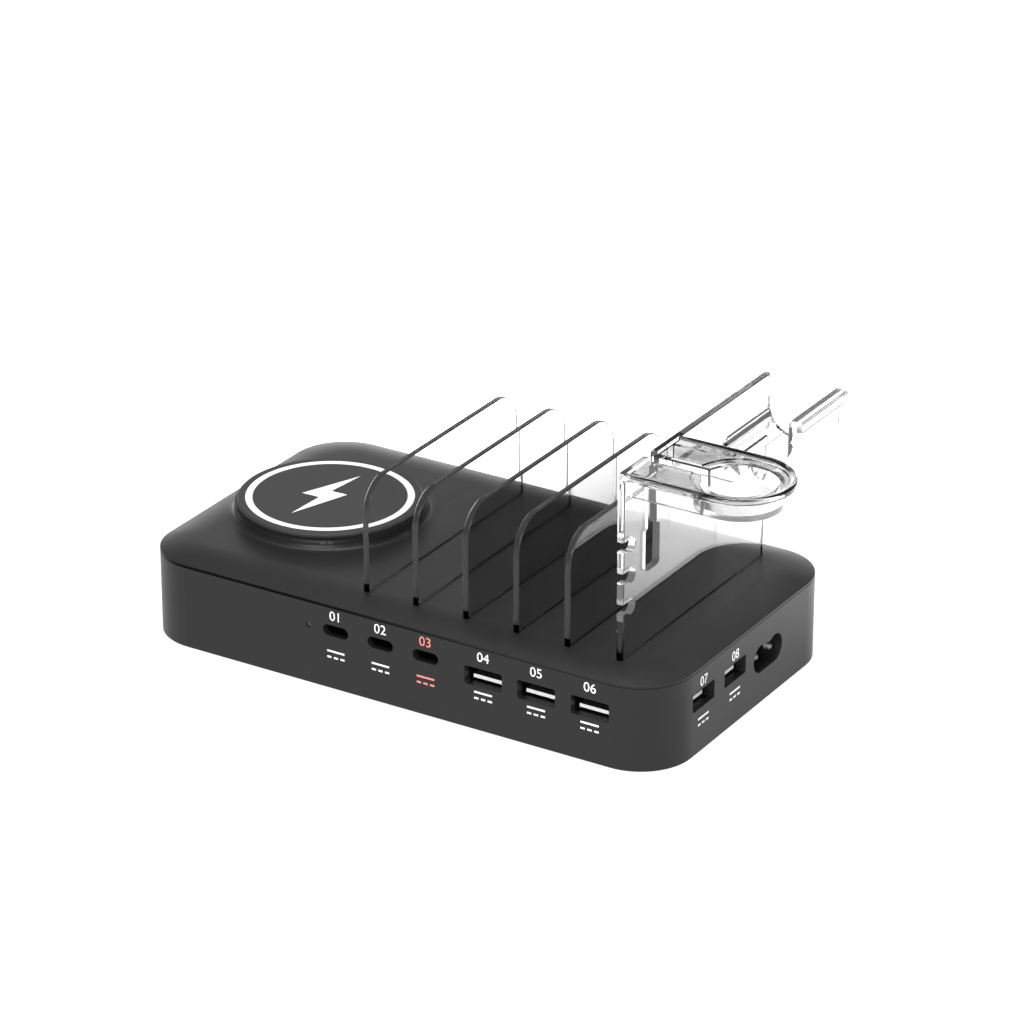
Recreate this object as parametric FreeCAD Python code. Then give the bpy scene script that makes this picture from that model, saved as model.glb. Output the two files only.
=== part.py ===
import FreeCAD, Part
import math
import os

from FreeCAD import Vector

# A desktop charging station: a low dark base with sockets on its front and right end, a round
# charging pad on its left, clear dividers that lift out of slots, and a clear stand with a puck
# cup and an earbud cradle. Millimetres, +Z up, X along the base, the socket row faces -Y.
# Pieces are drawn about the middle of the base and moved to the part's own origin when written.

# Housing
BASE_LENGTH = 186.0
BASE_WIDTH = 106.0
CORNER_RADIUS = 17.5
SIDE_HEIGHT = 28.0
SEAM_DROP = 0.65
CROWN_HEIGHT = 2.2
ROLL_WIDTH = 12.0
ROLL_STEPS = 3
ROLL_CORNER_SHARE = 0.6
WALL = 2.2
FLOOR = 2.2
UNDERSIDE_CHAMFER = 0.3
LIP_DEPTH = 2.5
LIP_THICKNESS = 1.4
HOUSING_FIT = 0.15
SEAM_GROOVE = 0.25
RIB_THICKNESS = 1.2
RIB_HEIGHT = 1.4
RIB_PITCH = 20.0

# Feet and the screws behind them
FOOT_RADIUS = 6.0
FOOT_PROUD = 0.5
FOOT_RECESS = 0.8
FOOT_FIT = 0.1
FOOT_INSET = 10.5
BOSS_RADIUS = 4.2
BOSS_HEIGHT = 10.0
POST_RADIUS = 3.4
POST_GAP = 0.1
SCREW_RADIUS = 1.4
SCREW_BITE = 6.0
SCREW_SEAT = 2.0
SCREW_HEAD_RADIUS = 2.6
SCREW_HEAD_HEIGHT = 1.8
SCREW_FIT = 0.2

# Slots and clear dividers
DIVIDER_COUNT = 5
SLOT_FIT = 0.2
SLEEVE_WALL = 1.2
DIVIDER_THICKNESS = 2.0
DIVIDER_FRONT_MARGIN = 9.5
DIVIDER_BACK_MARGIN = 10.8
DIVIDER_HEIGHT = 35.8
DIVIDER_CORNER = 11.0
CLEAR_EDGE = 0.4
TONGUE_CLEARANCE = 3.4
TONGUE_DEPTH = 8.0
TONGUE_SHOULDER = 0.5
SEAT_GAP = 0.1
PAD_TO_DIVIDER = 9.1

# Charging pad
PAD_MARGIN = 2.2
PAD_RADIUS = 28.7
PAD_HEIGHT = 4.8
PAD_EDGE = 0.5
PAD_RIM_THICKNESS = 1.2
PAD_STEP_INSET = 1.1
PEDESTAL_PROUD = 0.7
PEDESTAL_HEIGHT = 3.3
PEDESTAL_LAND = 0.6
COVE_REACH_SHARE = 0.3
COVE_LEVEL_SHARE = 0.36
SKIRT_FLARE = 3.8
SKIRT_EDGE = 0.25
NECK_LAND = 1.6
SPIGOT_WALL = 1.5
SPIGOT_DEPTH = 1.2
PAD_FIT = 0.2
RING_INSET = 2.7
RING_WIDTH = 2.2
RING_DEPTH = 0.3
RING_FIT = 0.03
TRAY_LEDGE = 2.5
TRAY_THICKNESS = 1.2
TRAY_DROP = 0.8
FERRITE_INSET = 4.0
FERRITE_THICKNESS = 0.8
COIL_INSET = 1.0
COIL_WIDTH = 12.0
COIL_THICKNESS = 1.2

# Sockets
PORT_CORNER_GAP = 0.1
PORT_FRONT_GAP = 0.1
SHELL_WALL = 0.3
USB_A_WIDTH = 12.95
USB_A_HEIGHT = 6.0
USB_A_DEPTH = 14.0
USB_A_ROUND = 0.6
USB_A_HANG = 0.8
LEG_WIDTH = 1.2
LEG_LENGTH = 3.0
USB_A_FRONT_COUNT = 3
USB_A_FRONT_PITCH = 18.3
USB_A_END_COUNT = 2
USB_A_END_PITCH = 19.0
TONGUE_A_WIDTH = 11.0
TONGUE_A_THICKNESS = 1.1
TONGUE_A_DROP = 1.7
TONGUE_A_SETBACK = 1.3
PLUG_BLOCK = 3.0
INSERT_FIT = 0.1
USB_C_WIDTH = 9.07
USB_C_HEIGHT = 3.7
USB_C_FLAT = 0.06
USB_C_DEPTH = 9.0
USB_C_COUNT = 3
USB_C_PITCH = 16.0
USB_C_TO_A = 20.2
TONGUE_C_WIDTH = 6.7
TONGUE_C_THICKNESS = 0.7
TONGUE_C_SETBACK = 1.6
LIGHT_TO_C = 9.8
LIGHT_RADIUS = 0.95
LIGHT_FIT = 0.1
LIGHT_SETBACK = 0.4
LIGHT_BLOCK = 2.4
LIGHT_DEPTH = 6.0

# Mains inlet, a two-pin socket with a flat bottom and a drawn-in top
INLET_TO_PORT = 20.3
INLET_LOBE_RADIUS = 4.5
INLET_PIN_SPREAD = 8.6
INLET_WAIST_TOP = 3.6
INLET_DEPTH = 14.0
INLET_BACK = 1.6
INLET_WALL = 1.5
INLET_TOP_LEDGE = 2.2
PIN_RADIUS = 1.2
PIN_SETBACK = 3.0

# Port board, which the sockets hang from
BOARD_DROP = 5.6
BOARD_THICKNESS = 1.6
BOARD_MARGIN = 4.0
PILLAR_RADIUS = 2.4
PILLAR_GAP = 0.5
PILLAR_BORE = 0.8
BOARD_SCREW_BITE = 5.0
BOARD_SCREW_HEAD_RADIUS = 1.9
BOARD_SCREW_HEAD_HEIGHT = 1.3

# Power board and what stands on it
POWER_BOARD_INSET = 17.0
POWER_BOARD_END_GAP = 6.0
POWER_BOARD_FRONT_GAP = 9.8
POWER_BOARD_BACK_GAP = 6.8
STANDOFF_HEIGHT = 2.4
STANDOFF_INSET = 4.0
CORE_LENGTH = 31.0
CORE_DEPTH = 20.0
CORE_HEIGHT = 15.0
CORE_YOKE = 3.0
CORE_LEG = 9.0
CORE_SIDE_LEG = 5.0
CORE_FROM_LEFT = 22.0
WINDING_FIT = 0.2
WINDING_OVERHANG = 4.0
CAPACITOR_RADIUS = 6.0
CAPACITOR_LENGTH = 26.0
CAPACITOR_COUNT = 2
CAPACITOR_PITCH = 28.0
CAPACITOR_GROOVE = 0.8
CAPACITOR_GROOVE_WIDTH = 1.6
CAPACITOR_FROM_CORE = 10.0
CHOKE_RADIUS = 8.0
CHOKE_WIRE = 3.0
CHOKE_BORE = 3.4
CHOKE_GAP = 3.5
SINK_DEPTH = 26.0
SINK_BASE = 2.0
SINK_HEIGHT = 8.5
SINK_FINS = 8
SINK_FIN_THICKNESS = 1.4
SINK_GAP = 10.6
SINK_END_GAP = 9.0

# Clear stand
STAND_THICKNESS = 2.4
STAND_FRONT_MARGIN = 9.6
STAND_BACK_MARGIN = 10.8
STAND_HEIGHT = 60.0
STAND_TONGUE_DEPTH = 12.0
STAND_TO_PORTS = 2.0
CLIP_COUNT = 3
CLIP_PITCH = 9.95
CLIP_TOP_DROP = 24.2
CLIP_RADIUS = 2.3
CLIP_SETBACK = 5.0
CLIP_LIP = 1.2
WINDOW_SETBACK = 12.8
WINDOW_WIDTH = 8.3
WINDOW_TOP_DROP = 22.7
WINDOW_HEIGHT = 13.8
WINDOW_ROUND = 1.5
CABLE_SLOT = 5.2
CUP_REACH = 29.8
RIM_RADIUS = 16.6
RIM_THICKNESS = 2.6
RIM_ROUND = 0.9
RIM_BEAD = 2.0
POCKET_DEPTH = 1.0
PUCK_RADIUS = 14.0
PUCK_DEPTH = 1.4
CUP_RADIUS = 13.0
CUP_WALL = 1.5
CUP_HEIGHT = 8.6
CUP_FLOOR = 1.4
CRADLE_OVERHANG = 1.7
CRADLE_LENGTH = 28.9
CRADLE_INSIDE = 21.8
CRADLE_DEPTH = 19.0
CRADLE_WALL = 1.9
CRADLE_ROUND = 9.0
GRIP_COUNT = 4
GRIP_RADIUS = 0.5
GRIP_FIRST = 190.0
GRIP_STEP = 18.0
GRIP_END = 1.5
LIP_REACH = 2.6
LIP_TURN = 1.5

# Levels and places worked out from the sizes above
UNDERSIDE_Z = FOOT_PROUD
FLOOR_Z = UNDERSIDE_Z + FLOOR
CREASE_Z = UNDERSIDE_Z + SIDE_HEIGHT
SEAM_Z = CREASE_Z - SEAM_DROP
TOP_Z = CREASE_Z + CROWN_HEIGHT
SEAT_Z = TOP_Z + SEAT_GAP
BOARD_Z = SEAM_Z - BOARD_DROP
BOSS_TOP_Z = UNDERSIDE_Z + BOSS_HEIGHT
HALF_LENGTH = BASE_LENGTH / 2
HALF_WIDTH = BASE_WIDTH / 2
INNER_X = HALF_LENGTH - WALL
INNER_Y = HALF_WIDTH - WALL
SHELL_HALF = USB_A_WIDTH / 2 + SHELL_WALL
USB_C_ROUND = USB_C_HEIGHT / 2 - USB_C_FLAT / 2
USB_A_Z = BOARD_Z - USB_A_HANG - SHELL_WALL - USB_A_HEIGHT / 2
USB_C_Z = BOARD_Z - SHELL_WALL - USB_C_HEIGHT / 2
LAST_A_X = HALF_LENGTH - CORNER_RADIUS - SHELL_HALF - PORT_CORNER_GAP
FRONT_A_XS = [LAST_A_X - USB_A_FRONT_PITCH * i for i in reversed(range(USB_A_FRONT_COUNT))]
LAST_C_X = FRONT_A_XS[0] - USB_C_TO_A
FRONT_C_XS = [LAST_C_X - USB_C_PITCH * i for i in reversed(range(USB_C_COUNT))]
LIGHT_X = FRONT_C_XS[0] - LIGHT_TO_C
LIGHT_Z = USB_C_Z
FIRST_END_Y = -HALF_WIDTH + CORNER_RADIUS + SHELL_HALF + PORT_CORNER_GAP
END_A_YS = [FIRST_END_Y + USB_A_END_PITCH * i for i in range(USB_A_END_COUNT)]
INLET_Y = END_A_YS[-1] + INLET_TO_PORT
INLET_Z = BOARD_Z - INLET_TOP_LEDGE - INLET_LOBE_RADIUS
INLET_HALF = INLET_PIN_SPREAD / 2 + INLET_LOBE_RADIUS + INLET_WALL
DIVIDER_TONGUE_HALF = DIVIDER_THICKNESS / 2 - TONGUE_SHOULDER
STAND_TONGUE_HALF = STAND_THICKNESS / 2 - TONGUE_SHOULDER
SLEEVE_HALF = STAND_TONGUE_HALF + SLOT_FIT + SLEEVE_WALL
PORT_BACK_X = INNER_X - PORT_FRONT_GAP - max(USB_A_DEPTH, INLET_DEPTH)
STAND_X = PORT_BACK_X - STAND_TO_PORTS - SLEEVE_HALF
STAND_TOP_Z = TOP_Z + STAND_HEIGHT
STAND_FRONT = -HALF_WIDTH + STAND_FRONT_MARGIN
STAND_BACK = HALF_WIDTH - STAND_BACK_MARGIN
CRADLE_BACK = STAND_BACK + CRADLE_OVERHANG
CRADLE_FRONT = CRADLE_BACK - CRADLE_LENGTH
PEDESTAL_RADIUS = PAD_RADIUS + PEDESTAL_PROUD
SKIRT_RADIUS = PEDESTAL_RADIUS + SKIRT_FLARE
PAD_BORE_RADIUS = PAD_RADIUS - PAD_STEP_INSET - NECK_LAND
PAD_X = -HALF_LENGTH + PAD_MARGIN + SKIRT_RADIUS
FERRITE_RADIUS = PAD_BORE_RADIUS - FERRITE_INSET
COIL_RADIUS = FERRITE_RADIUS - COIL_INSET
RING_RADIUS = PAD_RADIUS - RING_INSET
PILLAR_Y = -INNER_Y + PORT_FRONT_GAP + USB_A_DEPTH + PILLAR_GAP + PILLAR_RADIUS
PORT_ROW_BACK = PILLAR_Y + BOARD_MARGIN
TONGUE_REACH = -PORT_ROW_BACK - TONGUE_CLEARANCE - SLEEVE_WALL - SLOT_FIT
DIVIDER_FRONT = -HALF_WIDTH + DIVIDER_FRONT_MARGIN
DIVIDER_BACK = HALF_WIDTH - DIVIDER_BACK_MARGIN
SLOT_PITCH = (STAND_X - PAD_X - SKIRT_RADIUS - PAD_TO_DIVIDER) / DIVIDER_COUNT
DIVIDER_XS = [STAND_X - SLOT_PITCH * i for i in range(DIVIDER_COUNT, 0, -1)]
POWER_BOARD_FRONT = PORT_ROW_BACK + POWER_BOARD_FRONT_GAP
POWER_BOARD_BACK = INNER_Y - POWER_BOARD_BACK_GAP
POWER_BOARD_ENDS = (-HALF_LENGTH + POWER_BOARD_INSET, STAND_X - POWER_BOARD_END_GAP)
POWER_Z = FLOOR_Z + STANDOFF_HEIGHT
PARTS_Z = POWER_Z + BOARD_THICKNESS
POWER_Y = (POWER_BOARD_FRONT + POWER_BOARD_BACK) / 2
CORE_X = POWER_BOARD_ENDS[0] + CORE_FROM_LEFT
CAPACITOR_X = CORE_X + CORE_LENGTH / 2 + CAPACITOR_FROM_CORE
CHOKE_X = CAPACITOR_X + CAPACITOR_RADIUS + CHOKE_GAP + CHOKE_RADIUS
SINK_ENDS = (CHOKE_X + CHOKE_RADIUS + SINK_GAP, POWER_BOARD_ENDS[1] - SINK_END_GAP)
CUP_X = STAND_X + CUP_REACH
CUP_Y = STAND_FRONT + RIM_RADIUS
FOOT_SPOTS = [
    (side * (HALF_LENGTH - FOOT_INSET), end * (HALF_WIDTH - FOOT_INSET))
    for side in (-1, 1)
    for end in (-1, 1)
]
ORIGIN_X = (CUP_X + RIM_RADIUS - HALF_LENGTH) / 2

TOLERANCE = 0.01
X_AXIS = Vector(1, 0, 0)
Y_AXIS = Vector(0, 1, 0)
Z_AXIS = Vector(0, 0, 1)


def block(x0, x1, y0, y1, z0, z1):
    return Part.makeBox(x1 - x0, y1 - y0, z1 - z0, Vector(x0, y0, z0))


def runs_along(edge, axis):
    return abs(edge.tangentAt(edge.FirstParameter).dot(axis)) > 1 - TOLERANCE


def rounded_block(x0, x1, y0, y1, z0, z1, radius, axis):
    """A block whose four edges along one axis are rounded."""
    plain = block(x0, x1, y0, y1, z0, z1)
    return plain.makeFillet(radius, [e for e in plain.Edges if runs_along(e, axis)])


def post(radius, x, y, z0, z1):
    return Part.makeCylinder(radius, z1 - z0, Vector(x, y, z0), Z_AXIS)


def ring(outer, inner, x, y, z0, z1):
    return post(outer, x, y, z0, z1).cut(post(inner, x, y, z0, z1))


def turned(points, x, y):
    """A solid turned about the upright axis through x, y from (radius, height) points."""
    corners = [Vector(x + r, y, z) for r, z in points]
    face = Part.Face(Part.makePolygon(corners + corners[:1]))
    return face.revolve(Vector(x, y, 0), Z_AXIS, 360)


def outline(length, width, radius, z):
    """A rounded rectangle round the middle of the base, as four lines and four arcs."""
    x = length / 2 - radius
    y = width / 2 - radius
    corners = [(x, y), (-x, y), (-x, -y), (x, -y)]

    def on_corner(i, share):
        """A point on a corner's quarter circle, 0 at its start and 1 at its end."""
        angle = (i + share) * math.pi / 2
        cx, cy = corners[i % 4]
        return Vector(cx + radius * math.cos(angle), cy + radius * math.sin(angle), z)

    edges = []
    for i in range(4):
        edges.append(Part.Arc(on_corner(i, 0), on_corner(i, 1 / 2), on_corner(i, 1)).toShape())
        edges.append(Part.LineSegment(on_corner(i, 1), on_corner(i + 1, 0)).toShape())
    return Part.Wire(edges)


def slab(inset, z0, z1):
    """The base's outline drawn in by an inset, as a plate between two levels."""
    wire = outline(BASE_LENGTH - 2 * inset, BASE_WIDTH - 2 * inset, CORNER_RADIUS - inset, z0)
    return Part.Face(wire).extrude(Vector(0, 0, z1 - z0))


def front_ports():
    """The wall cut-outs of the front row, run through the front wall."""
    y0 = -HALF_WIDTH - WALL
    y1 = -INNER_Y + WALL / 2
    cuts = []
    for x in FRONT_A_XS:
        cuts.append(rounded_block(
            x - USB_A_WIDTH / 2, x + USB_A_WIDTH / 2, y0, y1,
            USB_A_Z - USB_A_HEIGHT / 2, USB_A_Z + USB_A_HEIGHT / 2, USB_A_ROUND, Y_AXIS))
    for x in FRONT_C_XS:
        cuts.append(rounded_block(
            x - USB_C_WIDTH / 2, x + USB_C_WIDTH / 2, y0, y1,
            USB_C_Z - USB_C_HEIGHT / 2, USB_C_Z + USB_C_HEIGHT / 2, USB_C_ROUND, Y_AXIS))
    cuts.append(Part.makeCylinder(LIGHT_RADIUS, y1 - y0, Vector(LIGHT_X, y0, LIGHT_Z), Y_AXIS))
    return cuts


def inlet_hole(x0, x1):
    """The two-lobed recess of the mains inlet between two places along X."""
    run = x1 - x0
    lobes = [
        Part.makeCylinder(
            INLET_LOBE_RADIUS, run, Vector(x0, INLET_Y + side * INLET_PIN_SPREAD / 2, INLET_Z), X_AXIS)
        for side in (-1, 1)
    ]
    waist = block(
        x0, x1, INLET_Y - INLET_PIN_SPREAD / 2, INLET_Y + INLET_PIN_SPREAD / 2,
        INLET_Z - INLET_LOBE_RADIUS, INLET_Z + INLET_WAIST_TOP)
    return waist.fuse(lobes)


def end_ports():
    """The wall cut-outs of the right end."""
    x0 = INNER_X - WALL / 2
    x1 = HALF_LENGTH + WALL
    cuts = [inlet_hole(x0, x1)]
    for y in END_A_YS:
        cuts.append(rounded_block(
            x0, x1, y - USB_A_WIDTH / 2, y + USB_A_WIDTH / 2,
            USB_A_Z - USB_A_HEIGHT / 2, USB_A_Z + USB_A_HEIGHT / 2, USB_A_ROUND, X_AXIS))
    return cuts


def pillar_spots():
    """Where the port board's pillars stand: behind the front row and between the end sockets."""
    x = (PORT_BACK_X + INNER_X) / 2
    return [
        (LIGHT_X, PILLAR_Y),
        ((LAST_C_X + FRONT_A_XS[0]) / 2, PILLAR_Y),
        (FRONT_A_XS[-1] - USB_A_FRONT_PITCH / 2, PILLAR_Y),
        (x, (END_A_YS[0] + END_A_YS[1]) / 2),
    ]


def standoff_spots():
    x0, x1 = POWER_BOARD_ENDS
    return [
        (x, y)
        for x in (x0 + STANDOFF_INSET, x1 - STANDOFF_INSET)
        for y in (POWER_BOARD_FRONT + STANDOFF_INSET, POWER_BOARD_BACK - STANDOFF_INSET)
    ]


def floor_ribs():
    """Low ribs across the floor between the screw bosses."""
    half = HALF_LENGTH - FOOT_INSET - BOSS_RADIUS
    count = int(2 * half / RIB_PITCH)
    start = -RIB_PITCH * (count - 1) / 2
    y = INNER_Y - WALL
    return [
        block(x - RIB_THICKNESS / 2, x + RIB_THICKNESS / 2, -y, y, FLOOR_Z, FLOOR_Z + RIB_HEIGHT)
        for x in (start + RIB_PITCH * i for i in range(count))
    ]


def lower_tub():
    """The open housing: floor, side wall with the socket cut-outs, bosses, pillars and ribs."""
    body = slab(0, UNDERSIDE_Z, SEAM_Z)
    low_edges = [e for e in body.Edges if e.BoundBox.ZMax < UNDERSIDE_Z + TOLERANCE]
    body = body.makeChamfer(UNDERSIDE_CHAMFER, low_edges)
    body = body.cut(slab(WALL, FLOOR_Z, SEAM_Z + WALL))
    groove = slab(0, SEAM_Z - SEAM_GROOVE, SEAM_Z)
    groove = groove.cut(slab(SEAM_GROOVE, SEAM_Z - SEAM_GROOVE, SEAM_Z))
    inside = floor_ribs()
    for x, y in FOOT_SPOTS:
        inside.append(post(BOSS_RADIUS, x, y, FLOOR_Z, BOSS_TOP_Z))
    for x, y in pillar_spots():
        inside.append(post(PILLAR_RADIUS, x, y, FLOOR_Z, BOARD_Z))
    for x, y in standoff_spots():
        inside.append(post(PILLAR_RADIUS, x, y, FLOOR_Z, FLOOR_Z + STANDOFF_HEIGHT))
    body = body.fuse(inside)
    cuts = front_ports() + end_ports() + [groove]
    recess_z = UNDERSIDE_Z + FOOT_RECESS
    for x, y in FOOT_SPOTS:
        cuts.append(post(FOOT_RADIUS + FOOT_FIT, x, y, UNDERSIDE_Z - FLOOR, recess_z))
        cuts.append(post(SCREW_RADIUS + SCREW_FIT, x, y, recess_z, BOSS_TOP_Z))
        cuts.append(post(SCREW_HEAD_RADIUS + SCREW_FIT, x, y, recess_z, BOSS_TOP_Z - SCREW_SEAT))
    for x, y in pillar_spots():
        cuts.append(post(PILLAR_BORE, x, y, BOARD_Z - BOARD_SCREW_BITE - SCREW_FIT, BOARD_Z))
    for x, y in standoff_spots():
        cuts.append(post(PILLAR_BORE, x, y, FLOOR_Z, FLOOR_Z + STANDOFF_HEIGHT))
    return body.cut(cuts).removeSplitter()


def crown():
    """The softly rolled top of the cover, from the crease up to its flat middle."""
    wires = []
    for i in range(ROLL_STEPS + 1):
        share = i / ROLL_STEPS
        inset = ROLL_WIDTH * share
        z = CREASE_Z + CROWN_HEIGHT * (1 - (1 - share) ** 2)
        radius = CORNER_RADIUS - ROLL_CORNER_SHARE * inset
        wires.append(outline(BASE_LENGTH - 2 * inset, BASE_WIDTH - 2 * inset, radius, z))
    return Part.makeLoft(wires, True, False)


def pedestal():
    """The flared foot of the charging pad, with a concave flank like a cove moulding."""
    top = TOP_Z + PEDESTAL_HEIGHT
    land = top - PEDESTAL_LAND
    low = TOP_Z + SKIRT_EDGE
    flank = Part.Arc(
        Vector(PEDESTAL_RADIUS, 0, land),
        Vector(
            PEDESTAL_RADIUS + (SKIRT_RADIUS - PEDESTAL_RADIUS) * COVE_REACH_SHARE, 0,
            low + (land - low) * COVE_LEVEL_SHARE),
        Vector(SKIRT_RADIUS, 0, low)).toShape()
    corners = [
        Vector(SKIRT_RADIUS, 0, low),
        Vector(SKIRT_RADIUS, 0, CREASE_Z),
        Vector(0, 0, CREASE_Z),
        Vector(0, 0, top),
        Vector(PEDESTAL_RADIUS, 0, top),
        Vector(PEDESTAL_RADIUS, 0, land),
    ]
    face = Part.Face(Part.Wire([flank] + Part.makePolygon(corners).Edges))
    solid = face.revolve(Vector(0, 0, 0), Z_AXIS, 360)
    solid.translate(Vector(PAD_X, 0, 0))
    return solid


def slot_sizes():
    """Place, half width and floor level of every slot, the stand's last."""
    slots = [(x, DIVIDER_TONGUE_HALF + SLOT_FIT, SEAT_Z - TONGUE_DEPTH - SLOT_FIT) for x in DIVIDER_XS]
    slots.append((STAND_X, STAND_TONGUE_HALF + SLOT_FIT, SEAT_Z - STAND_TONGUE_DEPTH - SLOT_FIT))
    return slots


def top_cover():
    """The cover: crowned plate, locating lip, slot sleeves, screw posts and the pad's pedestal."""
    plate = slab(0, SEAM_Z, CREASE_Z)
    lip_inset = WALL + HOUSING_FIT
    lip = slab(lip_inset, SEAM_Z - LIP_DEPTH, SEAM_Z)
    lip = lip.cut(slab(lip_inset + LIP_THICKNESS, SEAM_Z - LIP_DEPTH, SEAM_Z))
    additions = [crown(), pedestal(), lip]
    reach = TONGUE_REACH + SLOT_FIT
    cuts = []
    for x, half, low in slot_sizes():
        outer = half + SLEEVE_WALL
        additions.append(block(
            x - outer, x + outer, -reach - SLEEVE_WALL, reach + SLEEVE_WALL, low - SLEEVE_WALL, SEAM_Z))
        cuts.append(block(x - half, x + half, -reach, reach, low, TOP_Z + CROWN_HEIGHT))
    for x, y in FOOT_SPOTS:
        additions.append(post(POST_RADIUS, x, y, BOSS_TOP_Z + POST_GAP, SEAM_Z))
        cuts.append(post(
            SCREW_RADIUS, x, y, BOSS_TOP_Z, BOSS_TOP_Z + POST_GAP + SCREW_BITE + SCREW_FIT))
    ledge_z = TOP_Z - TRAY_DROP
    pad_top = TOP_Z + PAD_HEIGHT
    cuts.append(post(PAD_BORE_RADIUS, PAD_X, 0, ledge_z, pad_top))
    cuts.append(post(PAD_BORE_RADIUS - TRAY_LEDGE, PAD_X, 0, SEAM_Z - LIP_DEPTH, ledge_z))
    return plate.fuse(additions).cut(cuts).removeSplitter()


def pad_cap():
    """The pad's round lid: a thin disc on a stepped-in neck, with a spigot and a ring groove."""
    top = TOP_Z + PAD_HEIGHT
    rim_z = top - PAD_RIM_THICKNESS
    seat = TOP_Z + PEDESTAL_HEIGHT
    neck = PAD_RADIUS - PAD_STEP_INSET
    spigot = PAD_BORE_RADIUS - PAD_FIT
    low = seat - SPIGOT_DEPTH
    lid = turned([
        (0, seat), (spigot - SPIGOT_WALL, seat), (spigot - SPIGOT_WALL, low), (spigot, low),
        (spigot, seat), (neck, seat), (neck, rim_z), (PAD_RADIUS, rim_z),
        (PAD_RADIUS, top - PAD_EDGE), (PAD_RADIUS - PAD_EDGE, top), (0, top),
    ], PAD_X, 0)
    groove = ring(
        RING_RADIUS + RING_FIT, RING_RADIUS - RING_WIDTH - RING_FIT, PAD_X, 0, top - RING_DEPTH, top)
    return lid.cut(groove)


def pad_ring():
    """The pale ring laid in the lid's groove, flush with it."""
    top = TOP_Z + PAD_HEIGHT
    return ring(RING_RADIUS, RING_RADIUS - RING_WIDTH, PAD_X, 0, top - RING_DEPTH, top)


def coil_tray():
    low = TOP_Z - TRAY_DROP
    return post(PAD_BORE_RADIUS - PAD_FIT, PAD_X, 0, low, low + TRAY_THICKNESS)


def ferrite_disc():
    low = TOP_Z - TRAY_DROP + TRAY_THICKNESS
    return post(FERRITE_RADIUS, PAD_X, 0, low, low + FERRITE_THICKNESS)


def charging_coil():
    low = TOP_Z - TRAY_DROP + TRAY_THICKNESS + FERRITE_THICKNESS
    return ring(COIL_RADIUS, COIL_RADIUS - COIL_WIDTH, PAD_X, 0, low, low + COIL_THICKNESS)


def divider(x):
    """A clear divider with rounded top corners and a stepped-in tongue that seats in its slot."""
    top = TOP_Z + DIVIDER_HEIGHT
    half = DIVIDER_THICKNESS / 2
    panel = block(x - half, x + half, DIVIDER_FRONT, DIVIDER_BACK, SEAT_Z, top)
    corners = [e for e in panel.Edges if e.BoundBox.ZMin > top - half and runs_along(e, X_AXIS)]
    panel = panel.makeFillet(DIVIDER_CORNER, corners)
    rim = [e for e in panel.Edges if e.BoundBox.XLength < TOLERANCE and e.BoundBox.ZMax > SEAT_Z + half]
    panel = panel.makeChamfer(CLEAR_EDGE, rim)
    tongue = block(
        x - DIVIDER_TONGUE_HALF, x + DIVIDER_TONGUE_HALF, -TONGUE_REACH, TONGUE_REACH,
        SEAT_Z - TONGUE_DEPTH, SEAT_Z)
    return panel.fuse(tongue).removeSplitter()


def stadium(radius, z0, z1, start=0):
    """The plan of the stand's arm: straight from the upright, round about the cup."""
    arm = block(start, CUP_REACH, CUP_Y - radius, CUP_Y + radius, z0, z1)
    return arm.fuse(post(radius, CUP_REACH, CUP_Y, z0, z1)).removeSplitter()


def arm_plate():
    """The arm's plate: a shallow pocket inside a raised rim that is rounded like a bead."""
    plate = stadium(RIM_RADIUS, STAND_TOP_Z - RIM_THICKNESS, STAND_TOP_Z)
    plate = plate.cut(stadium(
        RIM_RADIUS - RIM_BEAD, STAND_TOP_Z - POCKET_DEPTH, STAND_TOP_Z, STAND_THICKNESS / 2))
    low = STAND_TOP_Z - RIM_THICKNESS
    edges = [
        e for e in plate.Edges
        if e.BoundBox.ZLength < TOLERANCE and e.BoundBox.XMax > STAND_THICKNESS
        and min(abs(e.BoundBox.ZMin - z) for z in (low, STAND_TOP_Z)) < TOLERANCE
    ]
    return plate.makeFillet(RIM_ROUND, edges)


def stand_arm():
    """The arm that carries the puck cup: a rimmed plate over a cored-out skirt."""
    rim_z = STAND_TOP_Z - RIM_THICKNESS
    low = STAND_TOP_Z - CUP_HEIGHT
    skirt = stadium(CUP_RADIUS, low, rim_z).cut(stadium(CUP_RADIUS - CUP_WALL, low, rim_z))
    cup = post(CUP_RADIUS, CUP_REACH, CUP_Y, low, rim_z)
    channel = CABLE_SLOT / 2 + CUP_WALL
    duct = block(0, CUP_REACH, CUP_Y - channel, CUP_Y + channel, low, rim_z)
    return arm_plate().fuse([skirt, cup, duct])


def arm_cuts():
    """The puck's recess, the cup's hollow and the cable slot from the cup through the upright."""
    floor = STAND_TOP_Z - CUP_HEIGHT + CUP_FLOOR
    pocket = STAND_TOP_Z - POCKET_DEPTH
    above = STAND_TOP_Z + RIM_THICKNESS
    half = CABLE_SLOT / 2
    return [
        post(PUCK_RADIUS, CUP_REACH, CUP_Y, STAND_TOP_Z - PUCK_DEPTH, above),
        Part.makeCone(
            PUCK_RADIUS, PUCK_RADIUS + CLEAR_EDGE, CLEAR_EDGE,
            Vector(CUP_REACH, CUP_Y, pocket - CLEAR_EDGE), Z_AXIS),
        post(CUP_RADIUS - CUP_WALL, CUP_REACH, CUP_Y, floor, above),
        block(-STAND_THICKNESS, CUP_REACH, CUP_Y - half, CUP_Y + half, floor, above),
    ]


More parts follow.
